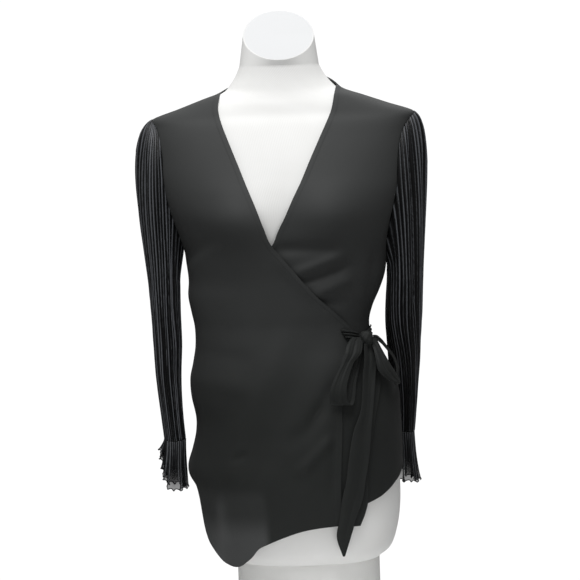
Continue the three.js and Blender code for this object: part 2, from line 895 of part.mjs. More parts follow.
function formBase() {
  const ring = (z, inset) => {
    const line = [];
    for (let c = 0; c < base.around; c += 1) {
      const turn = (c / base.around) * 2 * Math.PI;
      const x = base.middle + (base.halfWidth - inset) * Math.cos(turn);
      line.push(new THREE.Vector3(x, -(base.halfDepth - inset) * Math.sin(turn), z));
    }
    return line;
  };
  return loft([ring(0, base.edge), ring(base.edge, 0), ring(base.height, 0)]);
}

const bodyCloth = { color: 0x353638, roughness: 0.9, metalness: 0 };
const pleatCloth = { color: 0x1f2122, roughness: 0.8, metalness: 0 };
const formCover = { color: 0xe6e6e3, roughness: 0.85, metalness: 0 };
const baseCoat = { color: 0xe2e2df, roughness: 0.6, metalness: 0 };

const group = new THREE.Group();

function add(name, geometry, finish) {
  const mesh = new THREE.Mesh(geometry, new THREE.MeshStandardMaterial(finish));
  mesh.name = name;
  group.add(mesh);
}

add("form_base", formBase(), baseCoat);
add("dress_form", dressForm(), formCover);
add("back", back(), bodyCloth);
add("front_under", frontUnder(), bodyCloth);
add("front_over", frontOver(), bodyCloth);
for (const side of ["right", "left"]) {
  add(`sleeve_${side}`, pleatedSleeve(sleeves[side]), pleatCloth);
  add(`cuff_${side}`, flounce(sleeves[side], cuffs[side]), pleatCloth);
}
add("tie_gathers", ribbon(gathers, { steps: 4, columns: 12, folds: 3, deep: 1.3 }), bodyCloth);
add("tie_root", ribbon(rootRows, { steps: 3, columns: 4 }), bodyCloth);
add("tie_knot", tieKnot(), bodyCloth);
add("loop_right", ribbon(loopRight, { steps: 24 }), bodyCloth);
add("loop_left", ribbon(loopLeft, { steps: 22 }), bodyCloth);
add("tail_back", tail(tailBack, 12), bodyCloth);
add("tail_front", tail(tailFront, 16), bodyCloth);

export default group;
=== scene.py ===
"""Looks of a wrap top with pleated sleeves, worn by a limbless dress form on an oval base.

Every shape is worked out in millimetres, by much the same tables and formulas as the solid that
it stands for but on a finer grid and with finer detail. It is turned to metres when its mesh is
made.
+Z is up, the wearer's front faces -Y and the wearer's left is +X.
"""

import logging
from dataclasses import dataclass, field
from enum import Enum
from typing import Callable, Mapping, Sequence

import bpy
import numpy as np
from mathutils import Matrix, Vector


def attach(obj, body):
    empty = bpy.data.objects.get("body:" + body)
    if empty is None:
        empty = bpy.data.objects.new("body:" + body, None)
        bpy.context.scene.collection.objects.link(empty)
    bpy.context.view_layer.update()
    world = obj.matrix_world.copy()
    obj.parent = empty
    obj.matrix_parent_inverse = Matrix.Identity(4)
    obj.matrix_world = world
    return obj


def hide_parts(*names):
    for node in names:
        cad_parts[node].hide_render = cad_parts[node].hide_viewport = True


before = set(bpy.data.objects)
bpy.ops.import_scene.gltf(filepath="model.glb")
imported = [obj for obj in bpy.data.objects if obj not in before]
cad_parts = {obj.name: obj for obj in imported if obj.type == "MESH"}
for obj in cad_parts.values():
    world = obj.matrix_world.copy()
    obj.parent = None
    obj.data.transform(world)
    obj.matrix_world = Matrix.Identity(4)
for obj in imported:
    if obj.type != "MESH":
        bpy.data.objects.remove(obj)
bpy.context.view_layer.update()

Array = np.ndarray
Place = float | Array
Tree = bpy.types.NodeTree
Socket = bpy.types.NodeSocket
Material = bpy.types.Material
Piece = bpy.types.Object
log = logging.getLogger("wrap_top")

MM = 0.001
BODY = "root"

# Thicknesses of the shown cloth in millimetres, then what a doubled hem adds and how wide it is
CREPE_THICK = 0.7
CHIFFON_THICK = 0.5
TIE_THICK = 1.0
HEM_EXTRA = 0.7
HEM_WIDE = 8.0

# The gap at each seam, and the height of the shoulders' tips
SEAM_GAP = 0.3
SHOULDER_TIP = 763.0

# Turns of one full round, fine enough to read a curve from, and a distance far from any hem
FINE_TURNS = np.linspace(0, 2 * np.pi, 1441)
FAR_FROM_HEM = 100.0


class Table:
    """Rows of numbers with named columns, read on a smooth curve through the rows."""

    def __init__(self, names: str, rows: Sequence[Sequence[float]]) -> None:
        """Keeps the rows. The first column is the key, in rising order."""
        self.names = names.split()
        self.values = np.array(rows, float)

    def at(self, name: str, place: Place) -> Array:
        """One column at a place between the rows.

        The curve is a cubic through neighbouring rows a and b, whose slope at a row is that of
        the line from the row before it to the row after it.

        Args:
            name: the column.
            place: key values, held to the table's range.
        Returns:
            The column's value at each place.
        """
        key = self.values[:, 0]
        column = self.values[:, self.names.index(name)]
        last = len(key) - 1
        place = np.clip(np.asarray(place, float), key[0], key[last])
        before = np.maximum(np.arange(last + 1) - 1, 0)
        after = np.minimum(np.arange(last + 1) + 1, last)
        slope = (column[after] - column[before]) / (key[after] - key[before])
        i = np.clip(np.searchsorted(key, place, side="left") - 1, 0, last - 1)
        run = key[i + 1] - key[i]
        t = (place - key[i]) / run
        rise = t * t * (3 - 2 * t)
        leave = t * (1 - t) ** 2 * run * slope[i]
        arrive = t * t * (t - 1) * run * slope[i + 1]
        return column[i] * (1 - rise) + column[i + 1] * rise + leave + arrive


def smooth(start: float, end: float, value: Place) -> Array:
    """Rises softly from 0 at start to 1 at end, as 3t^2 - 2t^3."""
    t = np.clip((np.asarray(value, float) - start) / (end - start), 0, 1)
    return t * t * (3 - 2 * t)


def mix(low: Place, high: Place, share: Place) -> Array:
    """The value a share of the way from low to high."""
    return low + (high - low) * share


def bell(off: Place, wide: float) -> Array:
    """1 at off = 0, falling as a normal curve of that width."""
    return np.exp(-((off / wide) ** 2))


@dataclass(frozen=True)
class Ripple:
    """Low uneven waves in a cloth: a sum of sine waves whose direction and phase are random."""

    seed: int
    shortest: float
    longest: float
    high: float
    waves: int = 9

    def at(self, across: Place, up: Place) -> Array:
        """Height of the waves in millimetres, at places on the cloth in millimetres."""
        chance = np.random.default_rng(self.seed)
        total = 0.0
        for _ in range(self.waves):
            length = chance.uniform(self.shortest, self.longest)
            turn = chance.uniform(0, np.pi)
            phase = chance.uniform(0, 2 * np.pi)
            run = across * np.cos(turn) + up * np.sin(turn)
            total = total + np.sin(2 * np.pi * run / length + phase)
        return total * self.high / np.sqrt(self.waves)


@dataclass(frozen=True)
class Bust:
    """Two low swells of a general figure, the same on torso and cloth."""

    height: float = 16
    apart: float = 74
    level: float = 620
    wide: float = 50
    tall: float = 46


@dataclass(frozen=True)
class Skin:
    """A closed oval at each height: left, right, front and back points and how square it is."""

    sections: Table
    bust: Bust = field(default_factory=Bust)

    def oval(self, z: Place, lift: Place = 0.0) -> dict[str, Array]:
        """Middle, half width, front, back and squareness of the oval at each height."""
        left = self.sections.at("left", z) - lift
        right = self.sections.at("right", z) + lift
        return {
            "middle": (left + right) / 2,
            "half": (right - left) / 2,
            "front": self.sections.at("front", z) + lift,
            "back": self.sections.at("back", z) + lift,
            "square": self.sections.at("square", z),
        }

    def point(self, angle: Place, z: Place, lift: Place = 0.0) -> Array:
        """Points of the skin.

        With n the oval's squareness, a point lies (|cos|^n + |sin|^n)^(-1/n) of the way out.
        In front, two bell-shaped swells push it out further.

        Args:
            angle: 0 is the wearer's left side, a quarter turn the front, a half turn the right.
            z: height.
            lift: how far the oval is grown on every side.
        Returns:
            Points with x, y and z on the last axis.
        """
        angle, z, lift = np.broadcast_arrays(*(np.asarray(v, float) for v in (angle, z, lift)))
        oval = self.oval(z, lift)
        across = np.cos(angle)
        depth = np.sin(angle)
        power = oval["square"]
        reach = (np.abs(across) ** power + np.abs(depth) ** power) ** (-1 / power)
        x = oval["middle"] + oval["half"] * reach * across
        y = -np.where(depth > 0, oval["front"], oval["back"]) * reach * depth
        side = np.abs(x - oval["middle"]) - self.bust.apart
        swell = bell(z - self.bust.level, self.bust.tall) * bell(side, self.bust.wide)
        y = y - self.bust.height * swell * np.maximum(depth, 0)
        return np.stack([x, y, z], axis=-1)

    def angle_at(self, x: Place, z: Place, lift: Place = 0.0) -> Array:
        """The angle at which the front of the skin has a given x."""
        oval = self.oval(z, lift)
        across = np.clip((x - oval["middle"]) / oval["half"], -1, 1)
        depth = (1 - np.abs(across) ** oval["square"]) ** (1 / oval["square"])
        return np.arctan2(depth, across)

    def front_at(self, x: Place, z: Place, lift: Place) -> Array:
        """Points of the skin's front at a given x and height, moved out by a lift."""
        return self.point(self.angle_at(x, z, lift), z, lift)


TORSO = Skin(
    Table(
        "z left right front back square",
        [
            [107, -106, 108, 82, 84, 2.3],
            [120, -122, 124, 94, 96, 2.3],
            [145, -132, 134, 101, 103, 2.3],
            [180, -139, 140, 105, 109, 2.25],
            [220, -143, 141, 107, 112, 2.25],
            [270, -146, 139, 107, 113, 2.2],
            [320, -150, 135, 103, 108, 2.2],
            [362, -150, 129, 98, 101, 2.2],
            [400, -146, 111, 91, 90, 2.2],
            [428, -142, 97, 87, 83, 2.2],
            [452, -142, 92, 86, 80, 2.2],
            [480, -146, 98, 90, 82, 2.2],
            [515, -150, 112, 97, 86, 2.2],
            [550, -154, 121, 104, 89, 2.25],
            [590, -159, 128, 110, 94, 2.4],
            [626, -166, 134, 111, 97, 2.5],
            [654, -172, 140, 106, 98, 2.5],
            [680, -178, 146, 97, 94, 2.5],
            [706, -184, 152, 86, 89, 2.5],
            [734, -190, 158, 72, 80, 2.5],
            [752, -193, 162, 62, 72, 2.4],
            [764, -194, 165, 54, 62, 2.2],
            [772, -177, 148, 51, 60, 2.15],
            [781, -152, 122, 48, 57, 2.1],
            [790, -126, 96, 44, 54, 2.1],
            [799, -101, 71, 41, 52, 2.05],
            [811, -90, 57, 39, 50, 2],
            [823, -82, 48, 38, 48, 2],
            [836, -76, 41, 38, 46, 2],
        ],
    )
)

CLOTH = Skin(
    Table(
        "z left right front back square",
        [
            [105, -160, 142, 113, 119, 2.2],
            [165, -165, 146, 117, 122, 2.2],
            [225, -168.5, 146, 117, 122, 2.2],
            [250, -172.5, 146, 116.5, 121.5, 2.2],
            [277, -165, 146, 115, 119.5, 2.2],
            [300, -159.5, 145.5, 113.5, 118, 2.2],
            [322, -158.5, 144.5, 112, 115.5, 2.2],
            [354, -164.5, 143.2, 108.6, 110, 2.2],
            [380, -165, 135, 105.5, 103.5, 2.2],
            [402, -160, 123, 103, 97.5, 2.2],
            [428, -155.5, 106.5, 100.5, 90.2, 2.2],
            [456, -155.5, 102, 100, 86.8, 2.2],
            [478, -159.5, 108, 102.5, 88, 2.2],
            [502, -163.5, 119, 105, 90, 2.2],
            [525, -162, 127, 108, 93, 2.2],
            [550, -164, 131, 111.5, 96, 2.25],
            [573, -167, 135, 114, 98, 2.3],
            [600, -178, 142, 116, 101, 2.4],
            [626, -189, 150, 116, 103, 2.5],
            [654, -199, 159, 111, 103, 2.5],
            [680, -205, 164, 102, 99, 2.5],
            [706, -207, 167, 91, 93, 2.5],
            [734, -208, 170, 77, 84, 2.5],
            [752, -207, 175, 67, 75, 2.4],
            [763, -207, 178, 58, 66, 2.2],
            [777, -168, 139, 54, 63, 2.15],
            [790, -132, 103, 50, 59, 2.1],
            [800, -104, 75, 46, 57, 2.05],
            [812, -94, 62, 45, 55, 2],
            [824, -88, 54, 44, 53, 2],
        ],
    )
)


@dataclass(frozen=True)
class Armhole:
    """A loop that stands nearly upright, in front of and behind the side line."""

    sign: int
    side: float
    bottom: float
    front: float
    back: float

    def level(self, turn: Place) -> Array:
        """Height of the loop at a turn: 0 is the shoulder, a half turn the armpit."""
        return mix(self.bottom, SHOULDER_TIP, (1 + np.cos(turn)) / 2)

    def angle(self, z: Place, front: Place) -> Array:
        """The angle round the body of the loop at a height.

        The loop stands off the side line by its depth times sqrt(1 - s^2), where s runs from -1
        at the armpit to 1 at the shoulder.

        Args:
            z: height.
            front: true on the front half of the loop.
        Returns:
            Angles round the body.
        """
        half = (SHOULDER_TIP - self.bottom) / 2
        share = np.clip((z - self.bottom) / half - 1, -1, 1)
        oval = CLOTH.oval(z)
        reach = np.where(front, oval["front"], oval["back"])
        depth = np.where(front, self.front, self.back) * np.sqrt(1 - share * share) / reach
        across = (1 - depth ** oval["square"]) ** (1 / oval["square"])
        rise = np.arctan2(depth, across) * np.where(front, 1, -1)
        return self.side + self.sign * rise

    def point(self, turn: Place) -> Array:
        """Points of the loop. Turn 0 is the shoulder, and a quarter turn the front."""
        z = self.level(turn)
        return CLOTH.point(self.angle(z, np.sin(turn) > 0), z)

    def seam(self, z: Place, front: bool) -> Array:
        """The angle of a panel's edge along the side seam, the armhole and the shoulder seam."""
        toward = 1 if front == (self.sign > 0) else -1
        reach = CLOTH.oval(z)["front" if front else "back"]
        opened = (np.asarray(z) > self.bottom) & (np.asarray(z) < SHOULDER_TIP)
        return np.where(opened, self.angle(z, front), self.side) + toward * SEAM_GAP / 2 / reach


ARMHOLE_RIGHT = Armhole(sign=-1, side=np.pi, bottom=573, front=52, back=60)
ARMHOLE_LEFT = Armhole(sign=1, side=0.0, bottom=545, front=54, back=62)


@dataclass(frozen=True)
class Fold:
    """A soft crease of the front or back, from one point to another, in millimetres.

    A positive depth is a ridge, and a negative one is a trough.
    """

    x0: float
    z0: float
    x1: float
    z1: float
    wide: float
    deep: float

    def rise(self, x: Place, z: Place) -> Array:
        """How far the fold pushes the cloth out: a bell across it, with soft ends."""
        dx = self.x1 - self.x0
        dz = self.z1 - self.z0
        length = np.hypot(dx, dz)
        run = ((x - self.x0) * dx + (z - self.z0) * dz) / length**2
        off = ((x - self.x0) * dz - (z - self.z0) * dx) / length
        ends = smooth(-0.2, 0.2, run) * (1 - smooth(0.75, 1.2, run))
        return self.deep * ends * bell(off, self.wide)


def folds_of(rows: Sequence[Sequence[float]]) -> list[Fold]:
    """Folds from rows of x0, z0, x1, z1, wide and deep."""
    return [Fold(*row) for row in rows]


def unit_normals(grid: Array, loop: bool) -> Array:
    """Unit normals of a grid: the way along its columns crossed with the way up its rows."""
    if loop:
        step = np.roll(grid, -1, axis=1) - np.roll(grid, 1, axis=1)
    else:
        step = np.gradient(grid, axis=1)
    normal = np.cross(step, np.gradient(grid, axis=0))
    return normal / np.maximum(np.linalg.norm(normal, axis=2, keepdims=True), 1e-9)


def outward_normals(grid: Array, loop: bool, centre: Array | None = None) -> Array:
    """Unit normals of a grid, turned to point away from each row's middle or a given centre."""
    normal = unit_normals(grid, loop)
    if centre is None:
        centre = grid.mean(axis=1, keepdims=True)
    away = np.sum(normal * (grid - centre))
    return normal if away > 0 else -normal


def lengths(grid: Array, loop: bool) -> tuple[Array, Array]:
    """Distances over the cloth from its first column and first row, for each point of a grid.

    Args:
        grid: rows, columns and coordinates.
        loop: true where the last column joins the first, which adds one column of distances.
    Returns:
        Distance along the row, and distance along the column.
    """
    if loop:
        grid = np.concatenate([grid, grid[:, :1]], axis=1)
    step = np.linalg.norm(np.diff(grid, axis=1), axis=2)
    along = np.pad(np.cumsum(step, axis=1), ((0, 0), (1, 0)))
    rise = np.linalg.norm(np.diff(grid, axis=0), axis=2)
    up = np.pad(np.cumsum(rise, axis=0), ((1, 0), (0, 0)))
    return along, up


@dataclass
class Surface:
    """Points, faces, texture places and named values of a mesh, in millimetres."""

    points: Array
    quads: Array
    corners: Array
    uv: Array
    flat: Array
    values: dict[str, Array] = field(default_factory=dict)

    def area(self) -> float:
        """Area of all its faces, in square metres."""
        a, b, c, d = (self.points[self.quads[:, i]] for i in range(4))
        cross = np.cross(c - a, d - b)
        return float(np.linalg.norm(cross, axis=1).sum() / 2 * MM * MM)


def grid_faces(rows: int, columns: int) -> Array:
    """Corner numbers of the faces between neighbours of a grid."""
    corner = np.arange(rows * columns).reshape(rows, columns)
    faces = np.stack([corner[:-1, :-1], corner[:-1, 1:], corner[1:, 1:], corner[1:, :-1]], axis=-1)
    return faces.reshape(-1, 4)


def shell(
    grid: Array,
    thick: Place,
    loop: bool = False,
    values: Mapping[str, Array] | None = None,
) -> Surface:
    """A closed wall round a grid of points.

    Each point gives two, half the thickness to either side along the grid's normal. Faces join
    neighbours on both sides, and a rim of faces closes the edges. Texture places are distances
    over the cloth in metres, counted from the middle of each row.

    Args:
        grid: rows, columns and coordinates in millimetres.
        thick: thickness in millimetres, one number or one for each point.
        loop: true where the last column joins the first.
        values: one number for each point of the grid, by name.
    Returns:
        The wall.
    """
    rows, columns = grid.shape[:2]
    half = np.broadcast_to(np.asarray(thick, float), (rows, columns))[:, :, None] / 2
    normal = unit_normals(grid, loop)
    points = np.concatenate([(grid + normal * half).reshape(-1, 3), (grid - normal * half).reshape(-1, 3)])
    wide = columns + 1 if loop else columns
    place = np.arange(rows)[:, None] * columns + np.arange(wide)[None, :] % columns
    corner = np.arange(rows * wide).reshape(rows, wide)
    inside = rows * wide

    def patch(a: Array, b: Array, c: Array, d: Array) -> Array:
        """Four corner grids as a list of faces."""
        return np.stack([a, b, c, d], axis=-1).reshape(-1, 4)

    outer = grid_faces(rows, wide)
    inner = outer[:, ::-1] + inside
    first, last = corner[0], corner[-1]
    rims = [
        patch(first[1:], first[:-1], first[:-1] + inside, first[1:] + inside),
        patch(last[:-1], last[1:], last[1:] + inside, last[:-1] + inside),
    ]
    if not loop:
        start, end = corner[:, 0], corner[:, -1]
        rims.append(patch(start[:-1], start[1:], start[1:] + inside, start[:-1] + inside))
        rims.append(patch(end[1:], end[:-1], end[:-1] + inside, end[1:] + inside))
    rim = np.concatenate(rims)
    corners = np.concatenate([outer, inner, rim])
    vertex = np.concatenate([place.ravel(), place.ravel() + rows * columns])
    along, up = lengths(grid, loop)
    uv = np.stack([along - along[:, wide // 2 : wide // 2 + 1], up], axis=-1).reshape(-1, 2) * MM
    flat = np.arange(len(corners)) >= len(corners) - len(rim)
    named = {name: np.tile(np.asarray(v, float).ravel(), 2) for name, v in (values or {}).items()}
    return Surface(points, vertex[corners], corners, np.concatenate([uv, uv]), flat, named)


def closed_skin(grid: Array, values: Mapping[str, Array] | None = None) -> Surface:
    """A solid's skin through closed rings, each end drawn in to a point by its own first rings.

    Args:
        grid: rings from the lowest to the highest, in millimetres, turning the same way.
        values: one number for each point of the grid, by name.
    Returns:
        The skin, with its poles closed.
    """
    rows, columns = grid.shape[:2]
    wide = columns + 1
    place = np.arange(rows)[:, None] * columns + np.arange(wide)[None, :] % columns
    faces = grid_faces(rows, wide)
    points = grid.reshape(-1, 3)
    vertex = place.ravel()
    a, b, c = (points[vertex[faces[:, i]]] for i in range(3))
    if np.sum(a * np.cross(b, c)) < 0:
        faces = faces[:, ::-1]
    along, up = lengths(grid, True)
    uv = np.stack([along, up], axis=-1).reshape(-1, 2) * MM
    named = {name: np.asarray(v, float).ravel() for name, v in (values or {}).items()}
    return Surface(points, vertex[faces], faces, uv, np.zeros(len(faces), bool), named)


def piped_edge(line: Array, radius: float, around: int = 6) -> Surface:
    """A round thread along a closed line.

    Each point of the line carries a ring of points, in the plane across the line's own way.

    Args:
        line: points of the closed line, in millimetres.
        radius: the thread's radius.
        around: points of a ring.
    Returns:
        The thread's skin.
    """
    way = np.roll(line, -1, axis=0) - np.roll(line, 1, axis=0)
    way = way / np.linalg.norm(way, axis=1, keepdims=True)
    side = np.cross(way, np.array([0.0, 0.0, 1.0]))
    side = side / np.maximum(np.linalg.norm(side, axis=1, keepdims=True), 1e-6)
    over = np.cross(side, way)
    turn = np.linspace(0, 2 * np.pi, around, endpoint=False)
    ring = np.cos(turn)[:, None, None] * side + np.sin(turn)[:, None, None] * over
    grid = line[None] + radius * ring
    columns = line.shape[0]
    wide = columns + 1
    tall = around + 1
    place = (np.arange(tall)[:, None] % around) * columns + np.arange(wide)[None, :] % columns
    faces = grid_faces(tall, wide)
    points = grid.reshape(-1, 3)
    vertex = place.ravel()
    middle = np.tile(line, (around, 1))
    a, b, d = (points[vertex[faces[:, i]]] for i in (0, 1, 3))
    if np.sum(np.cross(b - a, d - a) * (a - middle[vertex[faces[:, 0]]])) < 0:
        faces = faces[:, ::-1]
    run = np.pad(np.cumsum(np.linalg.norm(np.diff(line, axis=0, append=line[:1]), axis=1)), (1, 0))
    girth = np.linspace(0, 2 * np.pi * radius, tall)[:, None]
    uv = np.stack(np.broadcast_arrays(run[None, :], girth), axis=-1)
    return Surface(points, vertex[faces], faces, uv.reshape(-1, 2) * MM, np.zeros(len(faces), bool))


def make_piece(name: str, surface: Surface, finish: Material) -> Piece:
    """A Blender object from a surface, in metres, at the origin, with its texture places.

    Args:
        name: the piece's name.
        surface: what it is made of. Faces with a side of no length are made triangles.
        finish: its material.
    Returns:
        The object, in the scene.
    """
    mesh = bpy.data.meshes.new(name)
    quads = surface.quads
    keep = quads != np.roll(quads, 1, axis=1)
    count = keep.sum(axis=1)
    whole = count >= 3
    keep &= whole[:, None]
    corner_vertex = quads[keep]
    corner_uv = surface.uv[surface.corners[keep]]
    total = count[whole]
    mesh.vertices.add(len(surface.points))
    mesh.vertices.foreach_set("co", (surface.points * MM).astype(np.float32).ravel())
    mesh.loops.add(len(corner_vertex))
    mesh.loops.foreach_set("vertex_index", corner_vertex.astype(np.int32))
    mesh.polygons.add(len(total))
    mesh.polygons.foreach_set("loop_start", np.concatenate([[0], np.cumsum(total)[:-1]]).astype(np.int32))
    mesh.update(calc_edges=True)
    mesh.polygons.foreach_set("use_smooth", ~surface.flat[whole])
    layer = mesh.uv_layers.new(name="UVMap")
    layer.data.foreach_set("uv", corner_uv.astype(np.float32).ravel())
    for key, value in surface.values.items():
        mesh.attributes.new(key, "FLOAT", "POINT").data.foreach_set("value", value.astype(np.float32))
    mesh.materials.append(finish)
    mesh.validate()
    mesh.update()
    piece = bpy.data.objects.new(name, mesh)
    bpy.context.scene.collection.objects.link(piece)
    triangles = int((total - 2).sum())
    log.info("%s: %d triangles, %.4f m2 on all its sides", name, triangles, surface.area())
    return piece


def settle(piece: Piece, nodes: Sequence[str] = ()) -> Piece:
    """Puts a piece on the part's body, for the solids that it stands for."""
    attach(piece, BODY)
    if nodes:
        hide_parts(*nodes)
    return piece


def linear(colour: str) -> tuple[float, float, float, float]:
    """An sRGB hex colour as linear red, green, blue and alpha."""
    part = np.array([int(colour[i : i + 2], 16) for i in (1, 3, 5)]) / 255
    low = part / 12.92
    high = ((part + 0.055) / 1.055) ** 2.4
    return (*np.where(part <= 0.04045, low, high).tolist(), 1.0)


def add_node(
    tree: Tree,
    kind: str,
    settings: Mapping[str | int, object] | None = None,
    links: Mapping[str | int, Socket] | None = None,
) -> bpy.types.Node:
    """Adds one node.

    Args:
        tree: where it goes.
        kind: Blender's name of the node.
        settings: values of its sockets, by name or number, and of its own properties.
        links: the sockets that feed its inputs, by name or number.
    Returns:
        The node.
    """
    made = tree.nodes.new(kind)
    for key, value in (settings or {}).items():
        if isinstance(key, str) and key not in made.inputs:
            setattr(made, key, value)
        else:
            made.inputs[key].default_value = value
    for key, source in (links or {}).items():
        tree.links.new(source, made.inputs[key])
    return made


# Distance between two bands of the Wave texture at a scale of 1
WAVE_LENGTH = 0.31

# Sockets of the Mix node when it mixes colours
MIX_A, MIX_B, MIX_RESULT = 6, 7, 2


def mix_colours(
    tree: Tree,
    share: Socket,
    low: Socket | Sequence[float],
    high: Socket | Sequence[float],
) -> Socket:
    """A colour a share of the way from low to high, each of them a socket or a fixed colour."""
    given = {0: share, MIX_A: low, MIX_B: high}
    links = {k: v for k, v in given.items() if isinstance(v, Socket)}
    fixed = {k: v for k, v in given.items() if k not in links}
    return add_node(tree, "ShaderNodeMix", {"data_type": "RGBA", **fixed}, links).outputs[MIX_RESULT]


def start_material(name: str) -> tuple[Material, Tree]:
    """A new material with an empty tree."""
    made = bpy.data.materials.new(name)
    made.use_nodes = True
    made.node_tree.nodes.clear()
    return made, made.node_tree


def end_material(
    tree: Tree,
    settings: Mapping[str, object],
    links: Mapping[str, Socket],
) -> None:
    """Adds the shader and the output to a material's tree."""
    shader = add_node(tree, "ShaderNodeBsdfPrincipled", settings, links)
    add_node(tree, "ShaderNodeOutputMaterial", links={"Surface": shader.outputs["BSDF"]})


def attribute(tree: Tree, name: str) -> Socket:
    """A value that the mesh carries at each point."""
    return add_node(tree, "ShaderNodeAttribute", {"attribute_name": name}).outputs["Fac"]


def cloth_place(tree: Tree) -> Socket:
    """Places over the cloth in metres."""
    return add_node(tree, "ShaderNodeUVMap", {"uv_map": "UVMap"}).outputs["UV"]


def noise(tree: Tree, place: Socket, scale: float, **settings: float) -> Socket:
    """Cloudy noise with a number of clouds to the metre."""
    named = {name.capitalize(): value for name, value in settings.items()}
    return add_node(tree, "ShaderNodeTexNoise", {"Scale": scale, **named}, {"Vector": place}).outputs["Fac"]


def maths(tree: Tree, operation: str, *values: Socket | float) -> Socket:
    """One sum or comparison of sockets and fixed numbers."""
    fixed = {i: v for i, v in enumerate(values) if isinstance(v, (int, float))}
    fed = {i: v for i, v in enumerate(values) if i not in fixed}
    return add_node(tree, "ShaderNodeMath", {"operation": operation, **fixed}, fed).outputs[0]


def ranged(tree: Tree, value: Socket, low: float, high: float) -> Socket:
    """A value from 0 to 1 spread from low to high."""
    return add_node(tree, "ShaderNodeMapRange", {"To Min": low, "To Max": high}, {"Value": value}).outputs[0]


def bump(tree: Tree, height: Socket, strength: float, deep_mm: float) -> Socket:
    """A bumped normal from a height, whose relief is a few tenths of a millimetre deep."""
    settings = {"Strength": strength, "Distance": deep_mm * MM}
    return add_node(tree, "ShaderNodeBump", settings, {"Height": height}).outputs[0]


@dataclass(frozen=True)
class WovenCrepe:
    """Polyester crepe: high-twist yarn, woven plain.

    The twist gives a dry pebbled face without shine, and a soft bloom where it turns away.
    """

    name: str = "woven_polyester_crepe"
    colour: str = "#1c1e1d"
    faded: str = "#212322"
    # Painted light: the lighter tone that the mesh's pale value mixes into the cloth
    painted_light_tone: str = "#707172"
    patch_mm: float = 45.0
    # The real pebble is about 0.4 mm, drawn coarser so that it shows
    pebble_mm: float = 1.6
    stitch_from_edge_mm: float = 7.0
    stitch_mm: float = 3.2

    def build(self) -> Material:
        """Mottled charcoal, paler by the mesh's pale value as painted light, a pebbled bump and a sunken row
        of stitches along the hems.
        """
        made, tree = start_material(self.name)
        place = cloth_place(tree)
        patches = noise(tree, place, 1 / (self.patch_mm * MM), detail=3.0)
        cloth = mix_colours(tree, patches, linear(self.colour), linear(self.faded))
        # Painted light: the pale value lightens the cloth towards the lighter tone
        shown = mix_colours(tree, attribute(tree, "pale"), cloth, linear(self.painted_light_tone))
        pebble = noise(tree, place, 1 / (self.pebble_mm * MM), detail=2.0, roughness=0.6)
        relief = maths(tree, "SUBTRACT", pebble, self.stitch_row(tree))
        end_material(
            tree,
            {"Sheen Weight": 0.03, "Sheen Roughness": 0.5, "Specular IOR Level": 0.35},
            {
                "Base Color": shown,
                "Roughness": ranged(tree, pebble, 0.64, 0.78),
                "Normal": bump(tree, relief, 0.35, 0.4),
            },
        )
        return made

    def stitch_row(self, tree: Tree) -> Socket:
        """1 on each stitch of the row along a hem and 0 elsewhere.

        A point is on the row where its distance from the hem is the row's own within 0.4 mm, and
        on a stitch in the middle two thirds of each stitch length.
        """
        on_row = maths(tree, "COMPARE", attribute(tree, "edge_mm"), self.stitch_from_edge_mm, 0.4)
        share = maths(tree, "PINGPONG", attribute(tree, "run_mm"), self.stitch_mm / 2)
        on_stitch = maths(tree, "GREATER_THAN", share, self.stitch_mm / 6)
        return maths(tree, "MULTIPLY", on_row, on_stitch)


@dataclass(frozen=True)
class PleatedChiffon:
    """Polyester chiffon with heat-set pleats.

    The fine twisted yarn has a faint silky sheen. Each pleat's crest is also painted with a highlight
    and its valley with black painted shade.
    """

    name: str = "pleated_polyester_chiffon"
    # Painted shade in the pleats' valleys and on their flanks, and a painted highlight on their crests
    valley: str = "#040405"
    flank: str = "#0d0e0f"
    crest: str = "#54565a"
    seen_through: float = 0.0
    # The real yarns are 0.15 mm apart, drawn as a grain coarse enough to show
    grain_mm: float = 1.2
    grain_stretch: float = 0.12

    def build(self) -> Material:
        """Painted shade in the valleys and painted highlights on the crests, by the mesh's own crest value,
        and a grain along them.
        """
        made, tree = start_material(self.name)
        fine = 1 / (self.grain_mm * MM)
        stretch = add_node(
            tree,
            "ShaderNodeMapping",
            {"Scale": (fine, self.grain_stretch * fine, 1.0)},
            {"Vector": cloth_place(tree)},
        )
        grain = noise(tree, stretch.outputs[0], 1.0, detail=2.0)
        uneven = maths(tree, "MULTIPLY_ADD", grain, 0.3, attribute(tree, "crest"))
        # The ramp paints shade and highlight by the crest value
        ramp = add_node(tree, "ShaderNodeValToRGB", links={"Fac": uneven})
        stops = ramp.color_ramp.elements
        stops[0].position, stops[0].color = 0.4, linear(self.valley)
        stops[1].position, stops[1].color = 1.0, linear(self.crest)
        middle = stops.new(0.8)
        middle.color = linear(self.flank)
        end_material(
            tree,
            {"Sheen Weight": 0.04, "Sheen Roughness": 0.4, "Specular IOR Level": 0.3},
            {
                "Base Color": ramp.outputs["Color"],
                "Roughness": ranged(tree, grain, 0.36, 0.55),
                "Normal": bump(tree, grain, 0.25, 0.3),
            },
        )
        if self.seen_through:
            clear = ranged(tree, attribute(tree, "sheer"), 1.0, 1 - self.seen_through)
            tree.links.new(clear, tree.nodes["Principled BSDF"].inputs["Alpha"])
        return made


